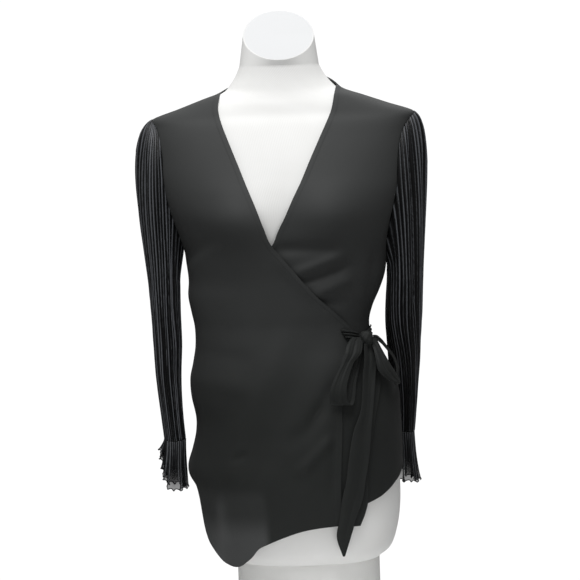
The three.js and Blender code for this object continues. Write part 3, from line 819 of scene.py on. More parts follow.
@dataclass(frozen=True)
class RolledThread:
    """Overlock thread round a rolled edge: spun polyester, dark, with its twist showing."""

    name: str = "spun_polyester_thread"
    colour: str = "#101112"
    light: str = "#232527"
    twist_mm: float = 1.5

    def build(self) -> Material:
        """Slanting stripes along the thread in colour and bump."""
        made, tree = start_material(self.name)
        twist = add_node(
            tree,
            "ShaderNodeTexWave",
            {"bands_direction": "DIAGONAL", "Scale": WAVE_LENGTH / (self.twist_mm * MM)},
            {"Vector": cloth_place(tree)},
        ).outputs["Fac"]
        shown = mix_colours(tree, twist, linear(self.colour), linear(self.light))
        end_material(tree, {"Roughness": 0.7}, {"Base Color": shown, "Normal": bump(tree, twist, 0.4, 0.2)})
        return made


@dataclass(frozen=True)
class StretchJersey:
    """Cotton jersey drawn tight over the torso: matt, off-white, with fine upright wales."""

    name: str = "knitted_cotton_jersey"
    colour: str = "#e9e9e8"
    shade: str = "#e1e1df"
    # Painted shade on the neck's cut face, which faces up to the key light
    cut_painted_shade: str = "#cacbcc"
    # The real wales are 0.9 mm apart, drawn at a spacing that shows
    wale_mm: float = 2.4
    patch_mm: float = 60.0

    def build(self) -> Material:
        """Faint patches, wales as a low bump, and painted shade on the neck's cut face."""
        made, tree = start_material(self.name)
        place = cloth_place(tree)
        patches = noise(tree, place, 1 / (self.patch_mm * MM), detail=4.0)
        wales = add_node(
            tree,
            "ShaderNodeTexWave",
            {"bands_direction": "X", "Scale": WAVE_LENGTH / (self.wale_mm * MM), "Distortion": 0.6},
            {"Vector": place},
        ).outputs["Fac"]
        tone = maths(tree, "MULTIPLY_ADD", wales, 0.12, patches)
        body = mix_colours(tree, tone, linear(self.colour), linear(self.shade))
        # Painted shade: the cut value greys the neck's cut face so that it doesn't wash out white
        shown = mix_colours(tree, attribute(tree, "cut"), body, linear(self.cut_painted_shade))
        end_material(
            tree,
            {"Roughness": 0.85, "Sheen Weight": 0.15, "Specular IOR Level": 0.3},
            {"Base Color": shown, "Normal": bump(tree, wales, 0.2, 0.3)},
        )
        return made


@dataclass(frozen=True)
class SprayedLacquer:
    """Satin white lacquer sprayed on wood: faint orange peel and even tone."""

    name: str = "sprayed_white_lacquer"
    colour: str = "#ececea"
    dust: str = "#dededb"
    peel_mm: float = 3.0
    clouds_per_metre: float = 18.0

    def build(self) -> Material:
        """A near-even white with low bumps of the spray."""
        made, tree = start_material(self.name)
        place = add_node(tree, "ShaderNodeTexCoord").outputs["Object"]
        cloud = noise(tree, place, self.clouds_per_metre, detail=5.0)
        peel = noise(tree, place, 1 / (self.peel_mm * MM), detail=1.0)
        shown = mix_colours(tree, cloud, linear(self.colour), linear(self.dust))
        end_material(
            tree,
            {"Coat Weight": 0.15, "Coat Roughness": 0.3},
            {
                "Base Color": shown,
                "Roughness": ranged(tree, cloud, 0.38, 0.55),
                "Normal": bump(tree, peel, 0.12, 0.3),
            },
        )
        return made


class Slot(Enum):
    """Material slot names."""

    BODY = "body_cloth"
    PLEATS = "pleated_cloth"
    COVER = "form_cover"
    BASE = "base_coat"


@dataclass
class Wardrobe:
    """Every finish of the part, made once."""

    crepe: Material = field(default_factory=lambda: WovenCrepe().build())
    chiffon: Material = field(default_factory=lambda: PleatedChiffon().build())
    sheer: Material = field(
        default_factory=lambda: PleatedChiffon(
            name="sheer_polyester_chiffon",
            # Painted valley shade, flank shade and crest highlight of the see-through flounce
            valley="#0a0b0c",
            flank="#1d1e20",
            crest="#5a5c5f",
            seen_through=0.5,
        ).build()
    )
    thread: Material = field(default_factory=lambda: RolledThread().build())
    jersey: Material = field(default_factory=lambda: StretchJersey().build())
    lacquer: Material = field(default_factory=lambda: SprayedLacquer().build())


@dataclass
class DressForm:
    """The limbless torso with its slanted neck, and the oval base that it stands on."""

    wardrobe: Wardrobe
    around: int = 160
    rows: int = 190
    low: float = 107
    neck_from: float = 836
    neck_middle: float = -17
    neck_half_width: float = 52
    neck_half_depth: float = 42
    neck_height: float = 881
    neck_slant: float = 0.89
    neck_rings: int = 25
    shrink: tuple[float, ...] = (0.96, 0.6, 0.25, 0.0)
    base_half_width: float = 106
    base_half_depth: float = 80
    base_height: float = 106.6
    base_middle: float = 1
    base_round: float = 4
    corner_rings: int = 7
    side_rings: int = 11

    def build(self) -> None:
        """Makes the torso and the base."""
        rings = self.torso_rings()
        # Marks the neck's slanted cut for painted shade in the jersey
        cut = np.zeros(rings.shape[:2])
        cut[-len(self.shrink) :] = 1
        torso = make_piece("dress_form_cover", closed_skin(rings, {"cut": cut}), self.wardrobe.jersey)
        settle(torso, ["dress_form"])
        base = make_piece("form_base_block", closed_skin(self.base_rings()), self.wardrobe.lacquer)
        settle(base, ["form_base"])

    def inset(self, ring: Array, share: float) -> Array:
        """A ring drawn in to a share of its size about its middle."""
        middle = ring.mean(axis=0, keepdims=True)
        return middle + (ring - middle) * share

    def torso_rings(self) -> Array:
        """Rings of the torso: its skin's ovals, then straight to the neck's slanted oval.

        The neck's last ring is x = m + a cos, y = -b sin, z = h + s y.
        """
        turn = np.linspace(0, 2 * np.pi, self.around, endpoint=False)
        z = np.linspace(self.low, self.neck_from, self.rows)
        body = TORSO.point(turn[None, :], z[:, None])
        y = -self.neck_half_depth * np.sin(turn)
        x = self.neck_middle + self.neck_half_width * np.cos(turn)
        cut = np.stack([x, y, self.neck_height + self.neck_slant * y], axis=-1)
        share = np.linspace(0, 1, self.neck_rings + 1)[1:, None, None]
        neck = mix(body[-1][None], cut[None], share)
        below = [self.inset(body[0], s) for s in reversed(self.shrink)]
        above = [self.inset(cut, s) for s in self.shrink]
        return np.concatenate([np.stack(below), body, neck, np.stack(above)])

    def base_rings(self) -> Array:
        """Rings of the base: an oval prism whose lower edge is rounded by a quarter circle."""
        turn = np.linspace(0, 2 * np.pi, self.around, endpoint=False)

        def ring(z: float, inset: float) -> Array:
            """An oval ring at a height, drawn in by an inset."""
            x = self.base_middle + (self.base_half_width - inset) * np.cos(turn)
            y = -(self.base_half_depth - inset) * np.sin(turn)
            return np.stack([x, y, np.full_like(x, z)], axis=-1)

        corner = np.linspace(0, np.pi / 2, self.corner_rings)
        side = np.linspace(self.base_round, self.base_height - 1, self.side_rings + 1)[1:]
        insets = (12.0, 40.0, self.base_half_depth - 1)
        rings = [ring(0, inset) for inset in reversed(insets)]
        rings += [
            ring(self.base_round * (1 - np.cos(a)), self.base_round * (1 - np.sin(a))) for a in corner
        ]
        rings += [ring(z, 0) for z in side]
        rings += [ring(self.base_height - 0.3, 0.3), ring(self.base_height, 1.0)]
        rings += [ring(self.base_height, inset) for inset in insets]
        first = np.repeat(rings[0].mean(axis=0, keepdims=True), self.around, axis=0)
        last = np.repeat(rings[-1].mean(axis=0, keepdims=True), self.around, axis=0)
        return np.stack([first, *rings, last])


OVER_EDGE = Table(
    "z x",
    [
        [160, 47], [240, 50], [308, 54], [345, 55], [385, 60], [410, 64], [422, 71], [432, 76],
        [445, 74], [458, 66], [473, 53], [509, 18], [545, -10], [580, -37], [604, -46.5],
        [636, -58.5], [665, -70], [693, -80.5], [720, -91], [748, -101.5], [761, -105.5],
        [771, -107.6], [780, -108], [789, -107], [799, -105],
    ],
)

UNDER_EDGE = Table(
    "z x",
    [
        [130, -55], [220, -60], [300, -80], [380, -112], [425, -134], [450, -136], [480, -122],
        [520, -90], [555, -58], [580, -36], [599, -27.5], [620, -16.5], [645, -4.5], [667, 7],
        [700, 22.3], [730, 37], [750, 47], [765, 54], [778, 58], [790, 60.5], [799, 63],
        [806, 65.5],
    ],
)

OVER_HEM = Table(
    "share z",
    [
        [0, 238], [0.14, 236], [0.225, 228], [0.25, 212], [0.262, 192], [0.28, 168], [0.305, 150],
        [0.335, 139], [0.4, 121], [0.44, 115], [0.475, 112.5], [0.51, 114.5], [0.53, 118.5],
        [0.57, 128], [0.605, 140], [0.65, 147], [0.735, 157.5], [0.812, 165], [0.891, 169],
        [1, 171],
    ],
)

UNDER_HEM = Table(
    "share z",
    [
        [0, 150], [0.2, 170], [0.365, 187], [0.411, 189.5], [0.464, 195], [0.527, 200],
        [0.606, 206.5], [0.65, 211.5], [0.696, 217], [0.743, 223], [0.801, 229], [0.88, 238],
        [1, 242],
    ],
)

BACK_HEM = Table(
    "share z",
    [
        [0, 240], [0.1, 238], [0.2, 231], [0.35, 221], [0.5, 216], [0.65, 221], [0.8, 231],
        [0.9, 239], [1, 243],
    ],
)

BACK_NECK = Table(
    "share z",
    [
        [0, 799.7], [0.08, 804], [0.16, 809.5], [0.3, 814], [0.5, 817], [0.7, 819], [0.84, 818.5],
        [0.92, 814], [0.97, 809], [1, 806],
    ],
)

UNDER_FOLDS = folds_of(
    [
        [-30, 574, 62, 572, 9, -4],
        [-4, 538, 62, 561, 8, 4.5],
        [8, 524, 76, 546, 6, -4.5],
        [22, 506, 76, 527, 9, 4.6],
        [28, 494, 66, 492, 7, -3.6],
        [114, 566, 100, 470, 9, -5],
        [70, 560, 96, 500, 8, -2.5],
    ]
)

OVER_FOLDS = folds_of(
    [
        [-20, 452, -116, 244, 17, 2.6],
        [24, 440, -74, 236, 22, -2.3],
        [-64, 452, -146, 270, 26, 1.6],
        [37, 298, -9, 249, 9, 3.6],
        [31, 345, -22, 289, 12, -2.2],
        [44, 312, 38, 216, 9, -2.2],
        [41, 374, 3, 298, 9, -2],
        [-100, 268, -84, 280, 5, -2],
        [-128, 232, -116, 132, 8, 3],
        [-168, 388, -70, 370, 15, 2.2],
        [-160, 425, -70, 412, 15, -2.2],
        [-30, 560, 20, 500, 9, 1.6],
    ]
)

BACK_FOLDS = folds_of(
    [
        [0, 474, -12, 330, 15, -3.4],
        [62, 452, 84, 300, 14, 3],
        [-74, 450, -98, 300, 14, 3],
        [32, 410, 48, 262, 12, -2.8],
        [-36, 414, -54, 250, 12, -2.8],
        [-130, 565, -62, 482, 9, -3.4],
        [112, 548, 46, 478, 9, -3.4],
        [-150, 600, -90, 520, 9, 2.6],
        [128, 590, 70, 515, 9, 2.6],
    ]
)


class Edge(Enum):
    """The four edges of a panel's grid."""

    HEM = "hem"
    TOP = "top"
    FIRST = "first"
    LAST = "last"


@dataclass
class Panel:
    """One panel of the body: a grid of rows from the hem up, each from one edge to the other."""

    name: str
    node: str
    low: float
    high: float
    start: Callable[[Array], Array]
    end: Callable[[Array], Array]
    hem: Table
    hem_from: float
    finished: Sequence[Edge]
    folds: Sequence[Fold]
    ripple: Ripple
    flat: tuple[float, float]
    flat_area: float
    top: Table | None = None
    top_from: float = 0.0
    lift: Callable[[Array, Array], Array] = lambda angle, z: np.zeros_like(angle)
    # Painted light: how much paler each point of the panel is drawn, by its x and height
    pale: Callable[[Array, Array], Array] = lambda x, z: painted_light_with_height(z)
    facing: int = 1
    rows: int = 215
    columns: int = 128
    crowd: float = 0.8
    seam_dip: float = 0.35
    seam_wide: float = 1.6
    ripple_radius: float = 130.0

    def heights(self, share: Array) -> Array:
        """Height of each point: level rows that bend to the hem's curve and the top's curve."""
        height = np.linspace(self.low, self.high, self.rows)[:, None]
        up = np.clip((height - self.low) / (self.hem_from - self.low), 0, 1)
        z = np.where(height < self.hem_from, mix(self.hem.at("z", share), self.hem_from, up), height)
        if self.top is not None:
            rise = np.clip((height - self.top_from) / (self.high - self.top_from), 0, 1)
            z = np.where(height > self.top_from, mix(self.top_from, self.top.at("z", share), rise), z)
        return z

    def build(self, finish: Material, rests_on: Sequence[str]) -> Piece:
        """Makes the panel.

        Columns stand closer at both edges: t - k sin(2 pi t) / (2 pi). At a seam the cloth turns
        in, and along a finished edge it is doubled.

        Args:
            finish: its material.
            rests_on: names of what carries it; not used.
        Returns:
            The piece.
        """
        even = np.linspace(0, 1, self.columns)[None, :]
        share = even - self.crowd * np.sin(2 * np.pi * even) / (2 * np.pi)
        z = self.heights(share)
        angle = mix(self.start(z), self.end(z), share)
        plain = CLOTH.point(angle, z)
        facing = np.maximum(self.facing * np.sin(angle), 0)
        folds = sum((fold.rise(plain[..., 0], z) for fold in self.folds), np.zeros_like(z))
        waves = self.ripple.at(angle * self.ripple_radius, z)
        grid = CLOTH.point(angle, z, self.lift(angle, z) + folds * facing + waves)
        along, up = lengths(grid, False)
        far = {
            Edge.HEM: up,
            Edge.TOP: up[-1:] - up,
            Edge.FIRST: along,
            Edge.LAST: along[:, -1:] - along,
        }
        seam = np.min([far[e] for e in (Edge.FIRST, Edge.LAST) if e not in self.finished], axis=0)
        middle = np.array([CLOTH.oval(z)["middle"].mean(), 0.0, 0.0])
        away = outward_normals(grid, False, middle + grid * [0, 0, 1])
        grid = grid - away * (self.seam_dip * bell(seam, self.seam_wide))[..., None]
        edge = np.min([far[e] for e in self.finished], axis=0)
        run = np.where(np.minimum(far[Edge.HEM], far[Edge.TOP]) <= edge + 1e-6, along, up)
        thick = CREPE_THICK + HEM_EXTRA * (1 - smooth(HEM_WIDE - 1.5, HEM_WIDE + 1.0, edge))
        # The pale value carries the painted light to the crepe's colour
        values = {"edge_mm": edge, "run_mm": run, "pale": self.pale(plain[..., 0], z)}
        piece = make_piece(self.name, shell(grid, thick, values=values), finish)
        settle(piece, [self.node])
        return piece


@dataclass(frozen=True)
class OverStandoff:
    """How far the over front stands off the body, so that it clears the under front."""

    lift: float = 4
    waist_angle: float = 152
    chest_angle: float = 118
    blend: float = 20
    armpit_from: float = 540
    armpit_to: float = 590
    chest_from: float = 600
    chest_to: float = 650

    def at(self, angle: Array, z: Array) -> Array:
        """The lift, which fades towards the side seam, sooner above the armpit, and up the chest."""
        armpit = smooth(self.armpit_from, self.armpit_to, z)
        fade = np.radians(mix(self.waist_angle, self.chest_angle, armpit))
        beside = 1 - smooth(0, 1, (angle - fade) / np.radians(self.blend))
        return self.lift * beside * (1 - smooth(self.chest_from, self.chest_to, z))


def painted_light_with_height(z: Array) -> Array:
    """Painted light: how much paler the body cloth is drawn, more with height, where light from above falls.
    """
    return 0.11 * smooth(330, 470, z) + 0.03 * smooth(570, 650, z)


def painted_light_and_pale_corner(x: Array, z: Array) -> Array:
    """How much paler the over front is drawn: with height as painted light, and in its low corner where it
    lies single.
    """
    single = 1 - smooth(-6, 6, x - UNDER_EDGE.at("x", z))
    below_back = 1 - smooth(212, 232, z)
    corner = 1 - smooth(152, 192, z)
    streak = bell(x + 122, 8) * (1 - smooth(195, 222, z))
    low = single * (0.05 * below_back + 0.19 * corner + 0.1 * streak)
    return np.clip(low + painted_light_with_height(z), 0, 1)


@dataclass
class BodyPanels:
    """Back, under front and over front of the top."""

    wardrobe: Wardrobe

    def build(self) -> None:
        """Makes the three panels, each resting on the one below."""
        crepe = self.wardrobe.crepe
        self.back().build(crepe, ["dress_form_cover"])
        self.under().build(crepe, ["dress_form_cover"])
        self.over().build(crepe, ["front_under_panel", "dress_form_cover"])

    def over(self) -> Panel:
        """The wearer's right front, from the right side seam to the wrap's edge."""
        return Panel(
            name="front_over_panel",
            node="front_over",
            low=160,
            high=799,
            start=lambda z: ARMHOLE_RIGHT.seam(z, True),
            end=lambda z: CLOTH.angle_at(OVER_EDGE.at("x", z), z),
            hem=OVER_HEM,
            hem_from=320,
            finished=(Edge.HEM, Edge.LAST),
            folds=OVER_FOLDS,
            ripple=Ripple(seed=11, shortest=70, longest=190, high=0.35),
            lift=OverStandoff().at,
            pale=painted_light_and_pale_corner,
            flat=(0.33, 0.72),
            flat_area=0.165,
        )

    def under(self) -> Panel:
        """The wearer's left front, which runs on inside the over front."""
        return Panel(
            name="front_under_panel",
            node="front_under",
            low=160,
            high=805,
            start=lambda z: CLOTH.angle_at(UNDER_EDGE.at("x", z), z),
            end=lambda z: ARMHOLE_LEFT.seam(z, True),
            hem=UNDER_HEM,
            hem_from=300,
            finished=(Edge.HEM, Edge.FIRST),
            folds=UNDER_FOLDS,
            ripple=Ripple(seed=23, shortest=60, longest=160, high=0.3),
            flat=(0.36, 0.68),
            flat_area=0.165,
        )

    def back(self) -> Panel:
        """The back, from the right side seam to the left one, up to the neckline."""
        return Panel(
            name="back_panel",
            node="back",
            low=215,
            high=806,
            start=lambda z: ARMHOLE_RIGHT.seam(z, False),
            end=lambda z: ARMHOLE_LEFT.seam(z, False) + 2 * np.pi,
            hem=BACK_HEM,
            hem_from=310,
            top=BACK_NECK,
            top_from=783,
            finished=(Edge.HEM, Edge.TOP),
            folds=BACK_FOLDS,
            ripple=Ripple(seed=37, shortest=70, longest=200, high=0.45),
            facing=-1,
            flat=(0.42, 0.64),
            flat_area=0.23,
        )


@dataclass
class Sleeve:
    """A pleated tube that rolls out of the armhole and hangs as an oval."""

    name: str
    node: str
    hole: Armhole
    set_out: float
    bulge: float
    tuck: float
    rings: Table
    seed: int
    folds: Sequence[Sequence[float]] = ()
    pleats: int = 36
    at_seam: float = 0.7
    full: float = 1.9
    at_cuff: float = 1.4
    tucked_in: float = 1.6
    armpit_out: float = 8
    armpit_set_out: float = 1.2
    armpit_down: float = 55
    shoulder_down: float = 205
    leave_down: float = 58
    forward: float = 14
    per_pleat: int = 9
    second_pleats: float = 0.42
    second_phase: float = 0.8
    uneven: float = 0.5
    crest_sine: float = 0.96
    wanders: int = 7
    phase_wander: float = 0.34
    height_wander: float = 0.1
    height_range: tuple[float, float] = (0.35, 1.5)
    full_from: float = 0.42
    fold_radius: float = 40.0
    fold_fade: float = 25
    # Painted shade that darkens the sleeve towards the cuff
    painted_shade_at_cuff: float = 0.13
    cap_rows: int = 56
    arm_rows: int = 66

    @property
    def top(self) -> float:
        """Height of the highest oval."""
        return float(self.rings.values[-1, 0])

    @property
    def bottom(self) -> float:
        """Height of the lowest oval, at the cuff's seam."""
        return float(self.rings.values[0, 0])

    def oval(self, turn: Place, z: Place, grow: Place = 0.0) -> Array:
        """Points of a hanging oval. Turn 0 is the outer side, and a quarter turn the front."""
        turn, z, grow = np.broadcast_arrays(*(np.asarray(v, float) for v in (turn, z, grow)))
        tilt = np.radians(self.rings.at("turn", z))
        outward = np.cos(turn) * (self.rings.at("across", z) + grow)
        forward = np.sin(turn) * (self.rings.at("along", z) + grow)
        x = self.rings.at("x", z) + self.hole.sign * (outward * np.cos(tilt) + forward * np.sin(tilt))
        y = self.rings.at("y", z) + outward * np.sin(tilt) - forward * np.cos(tilt)
        return np.stack([x, y, z], axis=-1)

    def cap(self, turn: Array, share: Array) -> Array:
        """Points of the cap: a cubic from the armhole to the highest oval, for each turn."""
        upper = (1 + np.cos(turn)) / 2
        begin = self.hole.point(turn)
        out = self.hole.sign * (self.set_out - self.tucked_in + self.armpit_set_out * (1 - upper) ** 2)
        begin = begin + np.stack([out, np.zeros_like(out), np.zeros_like(out)], axis=-1)
        finish = self.oval(turn, self.top)
        leave = np.stack(
            [
                self.hole.sign * mix(self.armpit_out, self.bulge, upper),
                -self.forward * np.sin(turn),
                np.full_like(turn, -self.leave_down),
            ],
            axis=-1,
        )
        arrive = np.stack(
            [
                -self.hole.sign * self.tuck * upper,
                np.zeros_like(turn),
                -self.armpit_down - self.shoulder_down * upper,
            ],
            axis=-1,
        )
        t = share[..., None]
        rise = t * t * (3 - 2 * t)
        return begin * (1 - rise) + finish * rise + leave * t * (1 - t) ** 2 + arrive * t * t * (t - 1)

    def hung_cap(self, turn: Array, share: Array) -> Array:
        """Rows of the cap whose columns hang upright from the armhole.

        A point's way round the arm is the angle whose tangent is its forward share of the
        highest oval over its outward share. On each row, a column stands where that way is its
        own turn.

        Args:
            turn: turns of the columns.
            share: place of each row between the armhole and the highest oval.
        Returns:
            Points of the cap.
        """
        middle = self.oval(np.array([0.0, np.pi]), self.top).mean(axis=0)
        half_across = float(self.rings.at("across", self.top))
        half_along = float(self.rings.at("along", self.top))
        rows = []
        for row in share:
            points = self.cap(FINE_TURNS, np.full_like(FINE_TURNS, row))
            outward = self.hole.sign * (points[:, 0] - middle[0]) / half_across
            forward = -(points[:, 1] - middle[1]) / half_along
            way = np.maximum.accumulate(np.unwrap(np.arctan2(forward, outward)))
            way = (way - way[0]) * 2 * np.pi / (way[-1] - way[0])
            rows.append(self.cap(np.interp(turn, way, FINE_TURNS), np.full_like(turn, row)))
        return np.stack(rows)

    def build(self, finish: Material) -> Piece:
        """Makes the sleeve with its pleats.

        A pleat's height is the arc sine of a sine, rounded at crest and valley. Its phase and
        height wander a little, and soft folds across the pleats push in and out.

        Args:
            finish: its material.
        Returns:
            The piece.
        """
        count = self.pleats * self.per_pleat
        turn = np.linspace(0, 2 * np.pi, count, endpoint=False)[None, :]
        cap = self.hung_cap(turn[0], np.linspace(0, 1, self.cap_rows) ** 1.2)
        z = np.linspace(self.top, self.bottom, self.arm_rows + 1)[1:, None]
        grid = np.concatenate([cap, self.oval(turn, z)])
        rows = grid.shape[0]
        down = np.linspace(0, 1, rows)[:, None]
        level = grid[..., 2]
        chance = np.random.default_rng(self.seed)
        phase = np.zeros((rows, count))
        height = np.ones((rows, count))
        for _ in range(self.wanders):
            round_count = int(chance.integers(1, 7))
            waves = chance.uniform(0.4, 2.6)
            offset = chance.uniform(0, 2 * np.pi)
            drift = 2 * np.pi * waves * down
            phase += self.phase_wander * np.sin(round_count * turn + drift + offset)
            finer = chance.integers(3, 15) * turn
            height += self.height_wander * np.sin(finer - drift + 2 * offset)
        place = self.pleats * turn + phase
        wave = np.sin(place)
        crest = np.arcsin(self.crest_sine * wave) / np.arcsin(self.crest_sine)
        crest = crest + self.second_pleats * np.sin(2 * place + self.second_phase)
        own = 1 + self.uneven * chance.uniform(-1, 1, self.pleats)
        height = height * own[np.floor(place / (2 * np.pi) - 0.25).astype(int) % self.pleats]
        height = np.clip(height, *self.height_range)
        seam_share = smooth(0, self.full_from, down)
        deep = mix(mix(self.at_seam, self.full, seam_share), self.at_cuff, smooth(0.5, 1, down))
        away = outward_normals(grid, True)
        push = crest * deep * height
        for turn_deg, high, low, wide, amount in self.folds:
            off = np.angle(np.exp(1j * (turn - np.radians(turn_deg)))) * self.fold_radius
            ends = smooth(low - self.fold_fade, low + self.fold_fade, level)
            ends = ends * (1 - smooth(high - self.fold_fade, high + self.fold_fade, level))
            push = push + amount * bell(off, wide) * ends
        grid = grid + away * push[..., None]
        # Painted highlight and shade: the crest value lights the crests and darkens the valleys, with more
        # painted shade towards the cuff
        cuff_shade = self.painted_shade_at_cuff * smooth(0.25, 0.9, down)
        values = {"crest": (crest * height + 1) / 2 - cuff_shade}
        piece = make_piece(self.name, shell(grid, CHIFFON_THICK, loop=True, values=values), finish)
        return settle(piece, [self.node])


@dataclass
class Cuff:
    """A wavy flounce with a rolled edge, sewn to the end of a sleeve and slit at one side."""

    name: str
    node: str
    sleeve: Sleeve
    drop: float
    slit: float
    lean: float
    seed: int
    climb: float = 58
    flare: float = 3
    cut_area: float = 0.0135
    wave_bend: float = 1.8
    slit_sharp: int = 10
    gap: float = 0.8
    waves: int = 14
    at_seam: float = 0.8
    at_edge: float = 4.8
    curl: float = 1.1
    ruffle: float = 1.6
    pleats_left: float = 1.1
    thread_radius: float = 0.75
    sheer_from: float = 0.4
    per_wave: int = 24
    rows: int = 50

    def place(self, turn: Place, down: Place) -> Array:
        """Points of the plain flounce, before its waves.

        Its lower edge lies drop - climb ((1 + cos(turn - slit)) / 2)^n below the seam, so it runs
        up on both sides of the slit.
        """
        beside = ((1 + np.cos(turn - np.radians(self.slit))) / 2) ** self.slit_sharp
        points = self.sleeve.oval(turn, self.sleeve.bottom, self.flare * down**1.5)
        points[..., 0] += self.lean * down
        points[..., 2] = self.sleeve.bottom - self.gap - down * (self.drop - self.climb * beside)
        return points

    def even_turns(self, count: int) -> Array:
        """Turns that stand evenly along the lower edge, so that its waves are of one length."""
        edge = self.place(FINE_TURNS, 1.0)
        run = np.pad(np.cumsum(np.linalg.norm(np.diff(edge, axis=0), axis=1)), (1, 0))
        return np.interp(np.linspace(0, run[-1], count, endpoint=False), run, FINE_TURNS)

    def build(self, sheer: Material, thread: Material) -> tuple[Piece, Piece]:
        """Makes the flounce and the thread round its edge.

        The waves grow from the seam to the edge, and small curls of the edge ride on them.

        Args:
            sheer: the flounce's material.
            thread: the edge's material.
        Returns:
            The flounce and its edge.
        """
        count = self.waves * self.per_wave
        turn = self.even_turns(count)[None, :]
        run = np.linspace(0, 2 * np.pi, count, endpoint=False)[None, :]
        down = np.linspace(0, 1, self.rows)[:, None]
        chance = np.random.default_rng(self.seed)
        phase = sum(
            chance.uniform(0.15, 0.4) * np.sin(k * run + chance.uniform(0, 2 * np.pi)) for k in (1, 2, 3, 5)
        )
        grid = self.place(turn, down)
        wave = np.sin(self.waves * run + phase)
        grid[..., 2] += self.ruffle * down**3 * np.cos(2 * self.waves * run + phase)
        away = outward_normals(grid, True)
        deep = mix(self.at_seam, self.at_edge, down**self.wave_bend)
        curls = self.curl * down**5 * np.sin(3 * self.waves * run + 2 * phase)
        fine = np.sin(self.sleeve.pleats * turn + phase) * (1 - 0.8 * down)
        grid = grid + away * (deep * wave + curls + self.pleats_left * fine)[..., None]
        values = {
            # Painted highlight and shade on the waves and fine pleats, read by the material's ramp
            "crest": np.clip(0.45 + 0.3 * wave * down + 0.5 * fine, 0, 1),
            "sheer": smooth(self.sheer_from, 1.0, down) * np.ones_like(turn),
        }
        flounce = make_piece(self.name, shell(grid, CHIFFON_THICK, loop=True, values=values), sheer)
        settle(flounce, [self.node])
        edge = make_piece(f"{self.name}_edge", piped_edge(grid[-1], self.thread_radius), thread)
        settle(edge)
        return flounce, edge


@dataclass
class Ribbon:
    """A band of cloth on the body, along rows of angle, height, lift, width and lean."""

    name: str
    node: str
    path: Table
    folds: int = 0
    deep: float = 0.0
    crease: float = 0.6
    creases: float = 2.0
    steps: int = 150
    columns: int = 34
    radius: float = 125
    crease_fade: float = 0.3
    crease_left: float = 0.25
    crease_turn: float = 2.5
    seed: int = 5

    def grid(self) -> Array:
        """Points of the band.

        Across its width the band goes round the body and leans up. Gathers are sine waves in its
        lift, and creases are smaller, uneven ones that fade away from both ends.
        """
        last = len(self.path.values) - 1
        place = np.linspace(0, last, self.steps)[:, None]
        share = np.linspace(0, 1, self.columns)[None, :]
        lean = np.radians(self.path.at("lean", place))
        off = (share - 0.5) * self.path.at("wide", place)
        angle = np.radians(self.path.at("angle", place)) - off * np.cos(lean) / self.radius
        z = self.path.at("z", place) + off * np.sin(lean)
        chance = np.random.default_rng(self.seed)
        shift = chance.uniform(0, 2 * np.pi, 3)
        t = place / last
        near = bell(t, self.crease_fade) + bell(t - 1, self.crease_fade) + self.crease_left
        small = np.sin(self.creases * 2 * np.pi * share + shift[0] + self.crease_turn * t)
        small = small + 0.5 * np.sin(self.creases * 4.3 * np.pi * share + shift[1] - 3 * t)
        gather = self.deep * np.sin(share * self.folds * 2 * np.pi)
        lift = self.path.at("lift", place) + gather + self.crease * near * small
        return CLOTH.point(angle, z, lift)

    def build(self, finish: Material) -> Piece:
        """Makes the band, doubled cloth with a seamed edge."""
        grid = self.grid()
        along, up = lengths(grid, False)
        edge = np.minimum(along, along[:, -1:] - along)
        values = {"edge_mm": edge + FAR_FROM_HEM, "run_mm": up, "pale": np.zeros_like(edge)}
        piece = make_piece(self.name, shell(grid, TIE_THICK, values=values), finish)
        return settle(piece, [self.node])


def steps_table(rows: Sequence[Sequence[float]]) -> Table:
    """A ribbon's path: rows of angle, z, lift, wide and lean, keyed by their number."""
    return Table("step angle z lift wide lean", [[i, *row] for i, row in enumerate(rows)])


@dataclass
class Tail:
    """A hanging end of the tie, by its left and right edges and how far it stands off."""

    name: str
    node: str
    edges: Table
    roll: float = 1.1
    sway: float = 0.8
    pinch: float = 0.8
    roll_turn: float = 2.4
    sways: float = 1.7
    least_rise: float = -1.0
    steps: int = 170
    columns: int = 30
    seed: int = 3

    def build(self, finish: Material) -> Piece:
        """Makes the tail, with a soft roll along it and a slow sway down it.

        Args:
            finish: its material.
        Returns:
            The piece.
        """
        key = self.edges.values[:, 0]
        z = np.linspace(key[0], key[-1], self.steps)[:, None]
        share = np.linspace(0, 1, self.columns)[None, :]
        x = mix(self.edges.at("left", z), self.edges.at("right", z), share)
        up = (z - key[0]) / (key[-1] - key[0])
        roll = self.roll * np.sin(2 * np.pi * (share - 0.1) + self.roll_turn * up) * smooth(0, 0.15, up)
        sway = self.sway * np.sin(2 * np.pi * self.sways * up + self.seed) * (1 - up)
        pinch = self.pinch * np.sin(share * 4 * np.pi) * smooth(0.75, 1, up)
        lift = self.edges.at("lift", z) + np.maximum(roll + sway, self.least_rise) + pinch
        grid = CLOTH.front_at(x, z, lift)
        along, rise = lengths(grid, False)
        edge = np.minimum(np.minimum(along, along[:, -1:] - along), rise)
        values = {"edge_mm": edge + FAR_FROM_HEM, "run_mm": rise, "pale": np.zeros_like(edge)}
        piece = make_piece(self.name, shell(grid, TIE_THICK, values=values), finish)
        return settle(piece, [self.node])


GATHERS_PATH = steps_table(
    [
        [50.5, 445, 5.6, 17, -62],
        [46, 443.5, 8, 15, -70],
        [42, 441.5, 8.6, 13, -80],
        [38.6, 440, 7.6, 10, -88],
    ]
)

ROOT_PATH = steps_table(
    [
        [3, 443, 1.9, 15, 90],
        [12, 442, 3.2, 15, 90],
        [22, 440, 5.6, 14, 90],
        [32, 438, 8.6, 12, 90],
    ]
)

